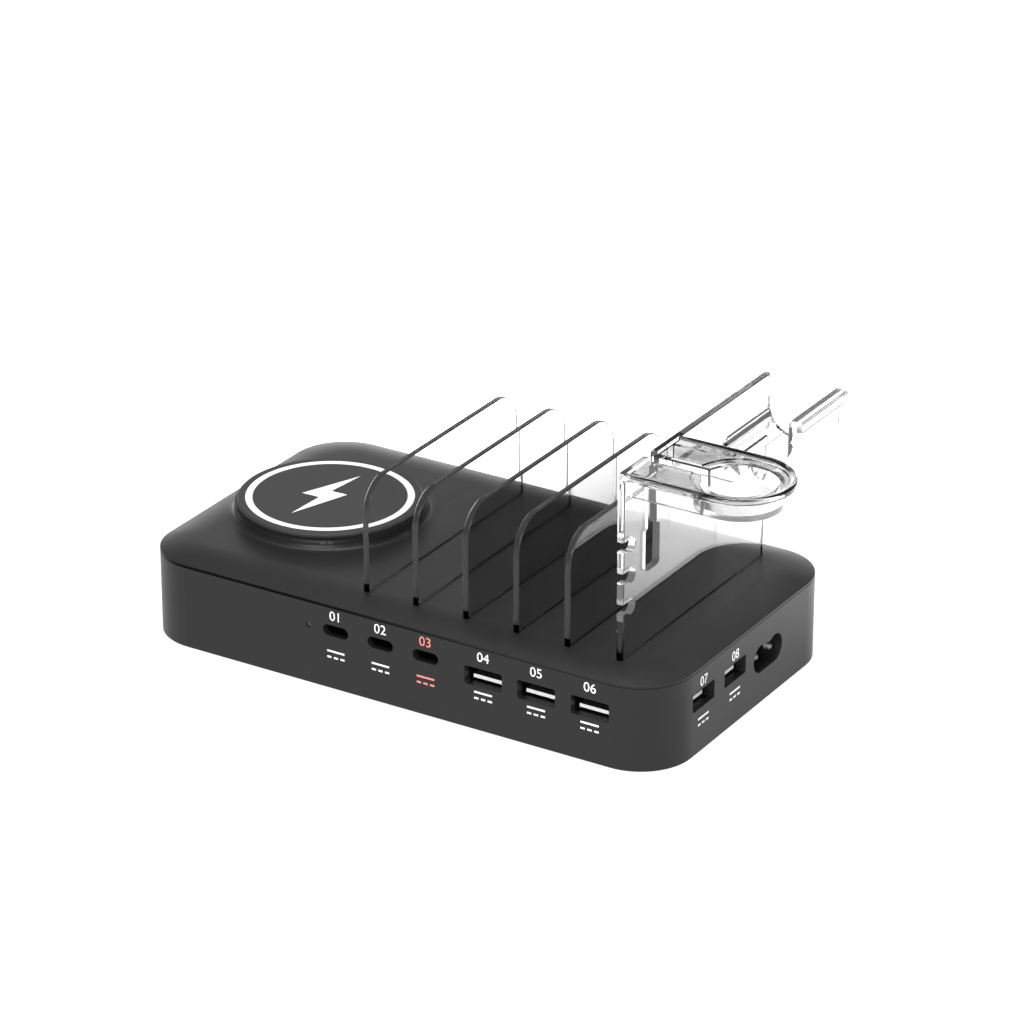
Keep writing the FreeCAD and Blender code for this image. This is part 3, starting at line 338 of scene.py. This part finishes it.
def colour(red, green, blue):
    """An opaque colour, in linear light."""
    return (red, green, blue, 1.0)


def grey(level):
    return colour(level, level, level)


def within(value, limits):
    """A mask that is 1 between two values."""
    return (value > limits[0]) * (value < limits[1])


def front_seam_shade(finish):
    """A mask of painted shade in the seam under the cover's crease, along the front, that fades out to the
    right.
    """
    front = finish.facing("Y") < FRONT_FACING
    return within(finish.along("Z"), SEAM_SHADE_BAND) * front * finish.step(finish.along("X"), *SEAM_SHADE_RUN)


def moulded(name, dark, light, roughness, grain, depth, specular=0.5, gap=None):
    """A moulded or coated surface: slow clouds of tone, a fine grain, and painted shade, black and
    mirror-dark, along a seam where it has one.
    """
    finish = Finish(name)
    cloud = finish.noise(CLOUD_SCALE, detail=3.0)
    fine = finish.noise(grain, roughness=0.6)
    # Painted shade: where the seam's mask is set, the surface turns black and mirror-dark
    painted_shade = gap(finish) if gap else 0.0
    return finish.close(finish.principled({
        "Base Color": finish.blend(painted_shade, finish.blend(cloud, dark, light), grey(PAINTED_SHADE_BLACK)),
        "Metallic": painted_shade,
        "Roughness": roughness + CLOUD_GLOSS * (cloud - 0.5) + GRAIN_GLOSS * (fine - 0.5),
        "Specular IOR Level": specular,
        "Normal": finish.bump(fine, GRAIN_RELIEF, depth),
    }))


def metal(name, dark, light, roughness, grain):
    """A drawn or plated metal with a fine, uneven sheen."""
    finish = Finish(name)
    sheen = finish.noise(grain, detail=4.0, roughness=0.65)
    return finish.close(finish.principled({
        "Base Color": finish.blend(sheen, dark, light),
        "Metallic": 1.0,
        "Roughness": roughness + SHEEN_GLOSS * (sheen - 0.5),
        "Normal": finish.bump(sheen, SHEEN_RELIEF, SHEEN_DEPTH),
    }))


# What is special about a clear piece: how dull it is, its tinted edges and their colour, its ribbed band,
# how far it is tinted darker as painted shade, and the painted glow of its narrow faces
Marks = namedtuple("Marks", "frost edge rim ribbed smoke shine")


def plate_marks(finish):
    """A divider's cut edges, dulled all round, with painted glow; the dividers by the pad are the clearest,
    and those further right are tinted darker as painted shade.
    """
    x, y, z = (finish.along(axis) for axis in "XYZ")
    second, third, last = (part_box("divider_%d" % number) for number in (2, 3, 5))
    edge = finish.narrow() * (z > HEEL_BAND[1])
    fading = THROUGH_SHADE_FADE * finish.step(x, third[1].x, last[0].x)
    back = finish.step(y, last[1].y - BACK_CORNER, last[1].y - BACK_CORNER / 2)
    return Marks(
        frost=PLATE_FROST * edge,
        edge=edge,
        rim=finish.blend(back, grey(1.0), grey(BACK_RIM)),
        ribbed=0.0,
        # Painted shade: from the third divider on, what is seen through them is darkened
        smoke=finish.step(x, second[1].x, third[0].x) * (1.0 - fading),
        shine=PLATE_PAINTED_GLOW * edge,
    )


def stand_marks(finish):
    """The stand's beads, dulled behind the arm, the cup's matt underside and the cradle's ribbed band, with
    painted glow in its narrow faces.
    """
    x, y, z = (finish.along(axis) for axis in "XYZ")
    narrow = finish.narrow()
    bead = narrow * (z > BEAD_LEVEL)
    behind = y > ARM_BACK
    under = finish.level() * within(z, CUP_UNDERSIDE)
    clip = narrow * within(z, CLIP_Z) * (y < CLIP_BACK)
    window = narrow * within(y, WINDOW_Y) * within(z, WINDOW_Z)
    cradle_end = narrow * within(y, CRADLE_END)
    ribbed = within(x, RIBBED_X) * within(z, RIBBED_Z) * (y > RIBBED_FRONT)
    return Marks(
        frost=BEAD_FROST * bead * behind + CUP_FROST * under,
        edge=bead * (1.0 - behind),
        rim=grey(STAND_RIM),
        ribbed=ribbed,
        smoke=0.0,
        shine=(BEAD_PAINTED_GLOW * bead * behind + CLIP_PAINTED_GLOW * clip + WINDOW_PAINTED_GLOW * window
               + CRADLE_PAINTED_GLOW * cradle_end + RIBBED_PAINTED_GLOW * ribbed),
    )


def clear_moulding(name, index, tint, shade, reach, find_marks):
    """Clear acrylic with duller cut edges: glass for the eye, a tinted way for the light through it;
    painted shade at its feet and painted glow in its narrow faces.
    """
    finish = Finish(name)
    flow = finish.noise(FLOW_SCALE, detail=1.0)
    marks = find_marks(finish)
    along, height = finish.along("Y"), finish.along("Z")
    # Painted shade: soles and heels that sit in the cover are painted black and mirror-dark
    shaded_sole = finish.level() * (height < SOLE_LEVEL) * (along * along > reach * reach)
    shaded_heel = finish.narrow() * within(height, HEEL_BAND)
    foot = shaded_sole + shaded_heel - shaded_sole * shaded_heel
    body = finish.blend(flow, grey(tint), grey(FLOW_TINT * tint))
    # Painted shade: dividers further right are tinted darker
    body = finish.blend(marks.smoke, body, grey(THROUGH_SHADE_TINT))
    body = finish.blend(marks.edge, body, marks.rim)
    body = finish.blend(marks.ribbed, body, grey(RIBBED_TINT))
    glass = finish.principled({
        "Base Color": finish.blend(foot, body, grey(PAINTED_SHADE_BLACK)),
        "Metallic": foot,
        "Roughness": CLEAR_GLOSS + FLOW_GLOSS * flow + marks.frost,
        "IOR": index,
        "Transmission Weight": 1.0,
        # Painted glow: narrow faces give off light though they are no lamp
        "Emission Color": finish.blend(marks.shine, grey(0.0), grey(1.0)),
        "Emission Strength": 1.0,
    })
    open_way = finish.node("ShaderNodeBsdfTransparent", {}, {"Color": grey(shade)})
    shadow = finish.node("ShaderNodeLightPath", {}, {}, "Is Shadow Ray")
    return finish.close(finish.node("ShaderNodeMixShader", {}, {0: shadow, 1: glass, 2: open_way}))


def socket_tongue():
    """White at the tip of a tongue, and black behind it as painted shade deep in its socket."""
    finish = Finish("socket_tongue")
    mottle = finish.noise(scale=900.0)
    depth = SOCKET_TONGUE_FRONT + SOCKET_TONGUE_LIT
    front_tip = finish.along("Y") < CAD_BOX[0].y + depth
    end_tip = finish.along("X") > TUB[1].x - depth
    pale = finish.blend(mottle, grey(0.80), grey(0.92))
    return finish.close(finish.principled({
        # Painted shade: all of the insert but the tip of its tongue is black
        "Base Color": finish.blend(front_tip + end_tip, grey(0.012), pale),
        "Roughness": 0.42 + 0.12 * mottle,
        "Normal": finish.bump(mottle, strength=0.1, depth=0.02 * MM),
    }))


def wound_copper():
    """Enamelled copper wire, laid side by side."""
    finish = Finish("wound_copper")
    turns = finish.node(
        "ShaderNodeTexWave", {"wave_type": "RINGS", "rings_direction": "Z"},
        {"Vector": finish.place, "Scale": 420.0, "Distortion": 0.4}, "Fac")
    return finish.close(finish.principled({
        "Base Color": finish.blend(turns, colour(0.20, 0.055, 0.02), colour(0.62, 0.24, 0.09)),
        "Metallic": 0.85,
        "Roughness": 0.28 + 0.15 * turns,
        "Normal": finish.bump(turns, strength=0.5, depth=0.1 * MM),
    }))


def board_laminate():
    """Green solder resist over copper tracks on glass laminate."""
    finish = Finish("board_laminate")
    tracks = finish.node(
        "ShaderNodeTexBrick", {},
        {"Vector": finish.place, "Scale": 130.0, "Mortar Size": 0.03,
         "Color1": grey(0.0), "Color2": grey(0.2), "Mortar": grey(1.0)}, "Fac")
    weave = finish.noise(scale=1500.0)
    return finish.close(finish.principled({
        "Base Color": finish.blend(tracks, colour(0.010, 0.085, 0.030), colour(0.03, 0.17, 0.06)),
        "Roughness": 0.32 + 0.15 * weave,
        "Normal": finish.bump(tracks, strength=0.3, depth=0.04 * MM),
    }))


FINISHES = {
    # The housing carries painted shade along its front seam
    "housing": moulded(
        "satin_black_housing", grey(0.0108), grey(0.0132),
        roughness=0.40, grain=2400.0, depth=0.02 * MM, specular=0.27, gap=front_seam_shade),
    "pad": moulded(
        "soft_grey_pad", grey(0.024), grey(0.030),
        roughness=0.58, grain=2800.0, depth=0.03 * MM, specular=0.30),
    "print": moulded(
        "white_print", grey(0.84), grey(0.93), roughness=0.50, grain=3000.0, depth=0.01 * MM),
    "coral": moulded(
        "coral_print", colour(0.80, 0.20, 0.16), colour(0.88, 0.26, 0.21),
        roughness=0.50, grain=3000.0, depth=0.01 * MM),
    "plate": clear_moulding(
        "clear_divider", index=1.36, tint=CLEAREST, shade=0.68, reach=0.0, find_marks=plate_marks),
    "stand": clear_moulding(
        "clear_stand", index=1.49, tint=STAND_TINT, shade=0.95,
        reach=STAND_TONGUE_REACH, find_marks=stand_marks),
    "black": moulded(
        "black_insert", grey(0.008), grey(0.014),
        roughness=0.45, grain=1800.0, depth=0.02 * MM, specular=0.4),
    "smoked": moulded(
        "smoked_light_pipe", grey(0.006), grey(0.012),
        roughness=0.12, grain=600.0, depth=0.005 * MM, specular=0.6),
    "rubber": moulded(
        "foot_rubber", grey(0.020), grey(0.034),
        roughness=0.80, grain=1500.0, depth=0.06 * MM, specular=0.25),
    "cream": moulded(
        "cream_plastic", colour(0.62, 0.58, 0.48), colour(0.72, 0.68, 0.58),
        roughness=0.5, grain=1500.0, depth=0.03 * MM),
    "ferrite": moulded(
        "ferrite_grey", grey(0.05), grey(0.09), roughness=0.62, grain=1200.0, depth=0.05 * MM),
    "shell": metal("blackened_shell", grey(0.035), grey(0.075), roughness=0.38, grain=700.0),
    "steel": metal("screw_steel", grey(0.42), grey(0.60), roughness=0.32, grain=500.0),
    "nickel": metal(
        "pin_nickel", colour(0.16, 0.155, 0.15), colour(0.24, 0.235, 0.23), roughness=0.45, grain=800.0),
    "gilt": metal(
        "gilt_contact", colour(0.62, 0.42, 0.14), colour(0.85, 0.62, 0.26), roughness=0.25, grain=900.0),
    "can": metal("can_aluminium", grey(0.62), grey(0.78), roughness=0.35, grain=300.0),
    "tongue": socket_tongue(),
    "copper": wound_copper(),
    "board": board_laminate(),
}

NODE_FINISHES = {
    "lower_tub": "housing", "top_cover": "housing", "pad_cap": "pad", "pad_ring": "print",
    "coil_tray": "cream", "ferrite_disc": "ferrite", "charging_coil": "copper", "clear_stand": "stand",
    "inlet_body": "black", "inlet_pins": "nickel", "light_pipe": "smoked", "rubber_feet": "rubber",
    "housing_screws": "steel", "port_board": "board", "port_board_screws": "steel",
    "power_board": "board", "power_board_screws": "steel", "transformer_core": "ferrite",
    "transformer_winding": "copper", "filter_capacitors": "can", "line_choke": "copper", "heat_sink": "can",
}
NUMBERED_FINISHES = {
    "divider_": "plate", "usb_c_shell_": "shell", "usb_c_insert_": "black",
    "usb_a_shell_": "shell", "usb_a_insert_": "tongue",
}


def finish_nodes():
    """Gives every solid of the frame its finish."""
    for name, solid in NODES.items():
        kind = NODE_FINISHES.get(name) or NUMBERED_FINISHES[name.rstrip("0123456789")]
        solid.data.materials.clear()
        solid.data.materials.append(FINISHES[kind])


def centre(node):
    """The middle of a solid's box."""
    low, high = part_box(node)
    return (low + high) / 2


def add_piece(name, mesh, finish, body="base"):
    """Shows a mesh as a piece that rides on a body."""
    piece = bpy.data.objects.new(name, mesh)
    bpy.context.scene.collection.objects.link(piece)
    if not mesh.materials:
        mesh.materials.append(FINISHES[finish])
    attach(piece, body)
    return piece


def plain_mesh(name, shape):
    """Ends a bmesh and returns it as a mesh."""
    mesh = bpy.data.meshes.new(name)
    shape.to_mesh(mesh)
    shape.free()
    return mesh


def evaluated_mesh(carrier):
    """The mesh that a carrier object shows."""
    return bpy.data.meshes.new_from_object(carrier.evaluated_get(bpy.context.evaluated_depsgraph_get()))


def text_mesh(words, height):
    """A line of figures as a thin flat mesh, upright and facing the front."""
    letters = bpy.data.curves.new("figures", "FONT")
    letters.body = words
    letters.size = height
    letters.align_x = "CENTER"
    letters.align_y = "CENTER"
    letters.extrude = PRINT_RAISE
    carrier = bpy.data.objects.new("figures", letters)
    bpy.context.scene.collection.objects.link(carrier)
    made = evaluated_mesh(carrier)
    bpy.data.objects.remove(carrier)
    made.materials.clear()
    made.transform(Matrix.Rotation(math.pi / 2, 4, "X"))
    return made


def joined(meshes):
    """One mesh from several."""
    whole = bmesh.new()
    for mesh in meshes:
        whole.from_mesh(mesh)
    return plain_mesh("joined", whole)


def number_mesh(number, along, face):
    """A port's number on one of the two faces."""
    mesh = text_mesh("%02d" % number, NUMBER_HEIGHT)
    row = NUMBER_ROW if face is FRONT_FACE else NUMBER_ROW - END_ROW_DROP
    mesh.transform(face @ Matrix.Translation((along, 0, row)))
    return mesh


def port_numbers():
    """Plain two-figure numbers over the sockets."""
    white = []
    for index, socket in enumerate(FRONT_SOCKETS):
        mesh = number_mesh(index + 1, centre(socket).x, FRONT_FACE)
        if index == CORAL_PORT:
            add_piece("coral_port_number", mesh, "coral")
        else:
            white.append(mesh)
    for index, socket in enumerate(END_SOCKETS):
        white.append(number_mesh(len(FRONT_SOCKETS) + index + 1, centre(socket).y, END_FACE))
    add_piece("white_port_numbers", joined(white), "print")


def sized_tree(name, sizes):
    """An empty geometry tree with named sizes and a finish; returns the recipe and its inputs."""
    group = bpy.data.node_groups.new(name, "GeometryNodeTree")
    kinds = {"Points": "NodeSocketGeometry", **sizes, "Finish": "NodeSocketMaterial"}
    for label, kind in kinds.items():
        group.interface.new_socket(label, in_out="INPUT", socket_type=kind)
    group.interface.new_socket("Shape", in_out="OUTPUT", socket_type="NodeSocketGeometry")
    recipe = Recipe(group)
    return recipe, {label: recipe.node("NodeGroupInput", {}, {}, label) for label in kinds}


def copied(recipe, shape, points):
    """One copy of a shape on each point."""
    return recipe.node("GeometryNodeInstanceOnPoints", {}, {"Points": points, "Instance": shape})


def end_tree(recipe, inputs, shape):
    """Sets one copy of a shape on each point and gives it its finish."""
    copies = copied(recipe, shape, inputs["Points"])
    real = recipe.node("GeometryNodeRealizeInstances", {}, {0: copies})
    dressed = recipe.node("GeometryNodeSetMaterial", {}, {"Geometry": real, "Material": inputs["Finish"]})
    recipe.node("NodeGroupOutput", {}, {0: dressed})
    return recipe.tree


def vector(recipe, x, y, z):
    """A vector from three wires or numbers."""
    return recipe.node("ShaderNodeCombineXYZ", {}, {0: x, 1: y, 2: z})


def repeated(recipe, shape, count, start, offset):
    """Copies of a shape in a straight row."""
    row = recipe.node(
        "GeometryNodeMeshLine", {}, {"Count": count, "Start Location": start, "Offset": offset})
    return copied(recipe, shape, row)


def current_sign_tree():
    """A long bar over three dashes, the common sign for direct current."""
    lengths = ("Width", "Gap", "Stroke", "Raise", "Dash")
    recipe, inputs = sized_tree("current_sign", {label: "NodeSocketFloat" for label in lengths})
    width, gap, stroke, height, dash_share = (inputs[label] for label in lengths)
    bar = recipe.node("GeometryNodeMeshCube", {}, {"Size": vector(recipe, width, height, stroke)})
    bar = recipe.node(
        "GeometryNodeTransform", {}, {"Geometry": bar, "Translation": vector(recipe, 0.0, 0.0, gap * 0.5)})
    dash_width = width * dash_share
    dash = recipe.node("GeometryNodeMeshCube", {}, {"Size": vector(recipe, dash_width, height, stroke)})
    spacing = (width - dash_width) * 0.5
    dashes = repeated(
        recipe, dash, SIGN_DASHES, vector(recipe, 0.0 - spacing, 0.0, gap * -0.5),
        vector(recipe, spacing, 0.0, 0.0))
    sign = recipe.node("GeometryNodeJoinGeometry", {}, {0: [dashes, bar]})
    return end_tree(recipe, inputs, sign)


def contact_strip_tree():
    """A row of flat spring strips on a tongue."""
    recipe, inputs = sized_tree("contact_strips", {
        "Count": "NodeSocketInt", "Pitch": "NodeSocketFloat", "Size": "NodeSocketVector"})
    count, pitch = inputs["Count"], inputs["Pitch"]
    strip = recipe.node("GeometryNodeMeshCube", {}, {"Size": inputs["Size"]})
    first = (count - 1.0) * pitch * -0.5
    strips = repeated(
        recipe, strip, count, vector(recipe, first, 0.0, 0.0), vector(recipe, pitch, 0.0, 0.0))
    return end_tree(recipe, inputs, strips)


def grown(tree, points, sizes):
    """Runs a tree on loose points and returns its result as a plain mesh."""
    seed = bpy.data.meshes.new("points")
    seed.from_pydata(points, [], [])
    carrier = bpy.data.objects.new("points", seed)
    bpy.context.scene.collection.objects.link(carrier)
    growth = carrier.modifiers.new("growth", "NODES")
    growth.node_group = tree
    for item in tree.interface.items_tree:
        if item.in_out == "INPUT" and item.name in sizes:
            growth[item.identifier] = sizes[item.name]
    made = evaluated_mesh(carrier)
    carrier.modifiers.remove(growth)
    bpy.data.objects.remove(carrier)
    return made


def current_signs():
    """Direct-current signs under the sockets."""
    tree = current_sign_tree()
    sizes = {"Width": SIGN_WIDTH, "Gap": SIGN_GAP, "Stroke": SIGN_STROKE, "Raise": 2 * PRINT_RAISE,
             "Dash": SIGN_DASH_SHARE}
    front = [(centre(socket).x, 0, SIGN_ROW) for socket in FRONT_SOCKETS]
    end = [(centre(socket).y, 0, SIGN_ROW - END_ROW_DROP) for socket in END_SOCKETS]
    rows = {
        "front_current_signs": (front[:CORAL_PORT] + front[CORAL_PORT + 1:], FRONT_FACE, "print"),
        "coral_current_sign": ([front[CORAL_PORT]], FRONT_FACE, "coral"),
        "end_current_signs": (end, END_FACE, "print"),
    }
    for name, (points, face, finish) in rows.items():
        mesh = grown(tree, points, {**sizes, "Finish": FINISHES[finish]})
        mesh.transform(face)
        add_piece(name, mesh, finish)


def socket_contacts():
    """Four gilt strips on each broad tongue."""
    tree = contact_strip_tree()
    sizes = {"Count": STRIP_COUNT, "Pitch": STRIP_PITCH, "Size": STRIP_SIZE, "Finish": FINISHES["gilt"]}
    depth = SOCKET_TONGUE_FRONT + STRIP_SETBACK + STRIP_SIZE.y / 2
    for name, sockets, face, axis in (
            ("front_socket_contacts", BROAD_SOCKETS, FRONT_FACE, 0),
            ("end_socket_contacts", END_SOCKETS, END_FACE, 1)):
        level = centre(sockets[0].replace("shell", "insert")).z - SOCKET_TONGUE_DROP
        mesh = grown(tree, [(centre(socket)[axis], depth, level) for socket in sockets], sizes)
        mesh.transform(face)
        add_piece(name, mesh, "gilt")


def pad_bolt():
    """The plain lightning bolt printed in the middle of the pad."""
    low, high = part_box("pad_ring")
    middle = (low + high) / 2
    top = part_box("pad_cap")[1].z
    radius = (high.x - low.x) / 2
    bolt = bmesh.new()
    corners = [bolt.verts.new((middle.x + radius * x, middle.y + radius * y, top)) for x, y in BOLT_OUTLINE]
    sheet = bolt.faces.new(corners)
    raised = bmesh.ops.extrude_face_region(bolt, geom=[sheet])["geom"]
    bmesh.ops.translate(
        bolt, vec=(0, 0, PRINT_RAISE), verts=[v for v in raised if isinstance(v, bmesh.types.BMVert)])
    bmesh.ops.recalc_face_normals(bolt, faces=bolt.faces)
    add_piece("pad_bolt", plain_mesh("pad_bolt", bolt), "print")


def pin_ends():
    """Rounded ends that bring the inlet's pins close behind its opening."""
    corners = [corner.co for corner in NODES["inlet_pins"].data.vertices]
    start = max(corner.x for corner in corners)
    rims = [corner for corner in corners if corner.x > start - PIN_SLACK]
    low, high = (pick(corner.y for corner in rims) for pick in (min, max))
    level = (min(corner.z for corner in rims) + max(corner.z for corner in rims)) / 2
    stop = TUB[1].x - PIN_SETBACK - PIN_RADIUS
    lying = Matrix.Rotation(math.pi / 2, 4, "Y")
    ends = bmesh.new()
    for y in (low + PIN_RADIUS, high - PIN_RADIUS):
        bmesh.ops.create_uvsphere(
            ends, u_segments=PIN_SEGMENTS, v_segments=PIN_SEGMENTS // 2, radius=PIN_RADIUS,
            matrix=Matrix.Translation((stop, y, level)))
        bmesh.ops.create_cone(
            ends, cap_ends=True, segments=PIN_SEGMENTS, radius1=PIN_RADIUS, radius2=PIN_RADIUS,
            depth=stop - start, matrix=Matrix.Translation(((stop + start) / 2, y, level)) @ lying)
    mesh = plain_mesh("pin_ends", ends)
    mesh.polygons.foreach_set("use_smooth", [True] * len(mesh.polygons))
    add_piece("pin_ends", mesh, "nickel")


def cover_height(x):
    """Height and slope of the cover over its left part, which rolls down to the edge."""
    left = min(1.0, (x - COVER[0].x) / ROLL_WIDTH)
    return COVER_TOP - ROLL_DROP * (1 - left) ** 2, 2 * ROLL_DROP / ROLL_WIDTH * (1 - left)


def foot_point(pad, place):
    """Where a point of the pad's flared foot goes on the steeper one, and the new surface's normal."""
    first, last = FOOT_RADII
    away = Vector((place.x - pad.x, place.y - pad.y, 0))
    share = min(1.0, max(0.0, (away.length - first) / (last - first)))
    out = away.normalized()
    round_ = Vector((-out.y, out.x, 0))
    reach = first + (last - first) * share ** FOOT_SPREAD
    level, slope = cover_height(pad.x + reach * out.x)
    rise = (1 - share) ** FOOT_FALL
    widening = (last - first) * FOOT_SPREAD * share ** (FOOT_SPREAD - 1)
    falling = -(FOOT_TOP - level) * FOOT_FALL * (1 - share) ** (FOOT_FALL - 1)
    down = out * widening + Vector((0, 0, falling + (1 - rise) * slope * out.x * widening))
    across = round_ * reach + Vector((0, 0, (1 - rise) * slope * round_.x * reach))
    moved = Vector((pad.x + reach * out.x, pad.y + reach * out.y, level + (FOOT_TOP - level) * rise))
    return moved, down.cross(across).normalized()


def blended_cover():
    """The cover with a steeper foot under the pad that runs out flat, in place of the flared one."""
    source = NODES["top_cover"].data
    pad = centre("pad_ring")
    whole = bmesh.new()
    whole.from_mesh(source)
    bmesh.ops.remove_doubles(whole, verts=whole.verts, dist=MERGE_DISTANCE)
    mesh = plain_mesh("blended_cover", whole)
    turned = {}
    for vertex in mesh.vertices:
        place = vertex.co.copy()
        reach = math.hypot(place.x - pad.x, place.y - pad.y)
        on_foot = FOOT_RADII[0] + FOOT_SLACK < reach < FOOT_RADII[1] + FOOT_SLACK
        if on_foot and place.z > cover_height(place.x)[0] - 2 * FOOT_SLACK:
            vertex.co, turned[vertex.index] = foot_point(pad, place)
    # Merging keeps the order of the faces' corners, so the old normals still fit
    plain = [Vector(corner.vector) for corner in source.corner_normals]
    normals = [turned.get(loop.vertex_index, old) for loop, old in zip(mesh.loops, plain)]
    mesh.polygons.foreach_set("use_smooth", [True] * len(mesh.polygons))
    mesh.normals_split_custom_set(normals)
    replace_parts(add_piece("blended_cover", mesh, "housing"), "top_cover")


def pale_floor():
    """Pale paper that glows about the object, most behind it, and fades far away."""
    finish = Finish("pale_floor")
    paper = finish.noise(scale=30.0, detail=4.0)
    x, y = finish.along("X"), finish.along("Y")
    away = x * x + y * y
    right = finish.step(x * RIGHT_WAY[0] + y * RIGHT_WAY[1], *RIGHT_RISE) * finish.step(away, *RIGHT_FALL)
    left = finish.step(y, *LEFT_BEHIND) * finish.step(x, *LEFT_ASIDE)
    bright = right + (1.0 - right) * left
    near = finish.step(away, *NEAR_FALL)
    glow = FLOOR_FAR + (FLOOR_GLOW - FLOOR_FAR) * near + (1.0 - FLOOR_GLOW) * bright
    return finish.close(finish.principled({
        "Base Color": finish.blend(paper, grey(0.14), grey(0.16)),
        "Roughness": 0.9,
        "Specular IOR Level": 0.0,
        "Emission Color": finish.blend(glow, grey(0.0), grey(1.0)),
        "Emission Strength": FLOOR_STRENGTH,
    }))


def studio_floor():
    """A wide sheet under the object."""
    corners = [(x * FLOOR_REACH, y * FLOOR_REACH, 0) for x, y in ((-1, -1), (1, -1), (1, 1), (-1, 1))]
    mesh = bpy.data.meshes.new("floor")
    mesh.from_pydata(corners, [], [(0, 1, 2, 3)])
    mesh.materials.append(pale_floor())
    floor = bpy.data.objects.new("floor", mesh)
    bpy.context.scene.collection.objects.link(floor)


def softbox(name, place, target, size, radiance):
    """A soft rectangular lamp, given by how bright it looks."""
    lamp = bpy.data.lights.new(name, "AREA")
    lamp.shape = "RECTANGLE"
    lamp.size, lamp.size_y = size
    lamp.energy = radiance * math.pi * size[0] * size[1]
    box = bpy.data.objects.new(name, lamp)
    box.location = place
    box.rotation_euler = (Vector(target) - Vector(place)).to_track_quat("-Z", "Y").to_euler()
    box.visible_camera = False
    bpy.context.scene.collection.objects.link(box)


def studio_light():
    """Soft light from above, from the front and from the right end, and a low pale screen behind."""
    scene = bpy.context.scene
    world = bpy.data.worlds.new("studio")
    world.use_nodes = True
    sky = world.node_tree.nodes["Background"]
    sky.inputs["Color"].default_value = grey(1.0)
    sky.inputs["Strength"].default_value = SKY_STRENGTH
    scene.world = world
    for name, (place, target, size, radiance) in SOFTBOXES.items():
        softbox(name, place, target, size, radiance)
    scene.view_settings.view_transform = "Standard"
    scene.cycles.max_bounces = CLEAR_BOUNCES
    scene.cycles.transmission_bounces = CLEAR_BOUNCES
    scene.cycles.caustics_reflective = False
    scene.cycles.caustics_refractive = False


def studio_camera():
    """The photograph's view, with an unshifted lens."""
    lens = bpy.data.cameras.new("view")
    lens.lens = CAMERA_LENS
    camera = bpy.data.objects.new("view", lens)
    camera.location = CAMERA_PLACE
    camera.rotation_euler = (CAMERA_TILT, 0, CAMERA_YAW)
    bpy.context.scene.collection.objects.link(camera)
    bpy.context.scene.camera = camera


finish_nodes()
port_numbers()
current_signs()
socket_contacts()
pad_bolt()
pin_ends()
blended_cover()
studio_floor()
studio_light()
studio_camera()
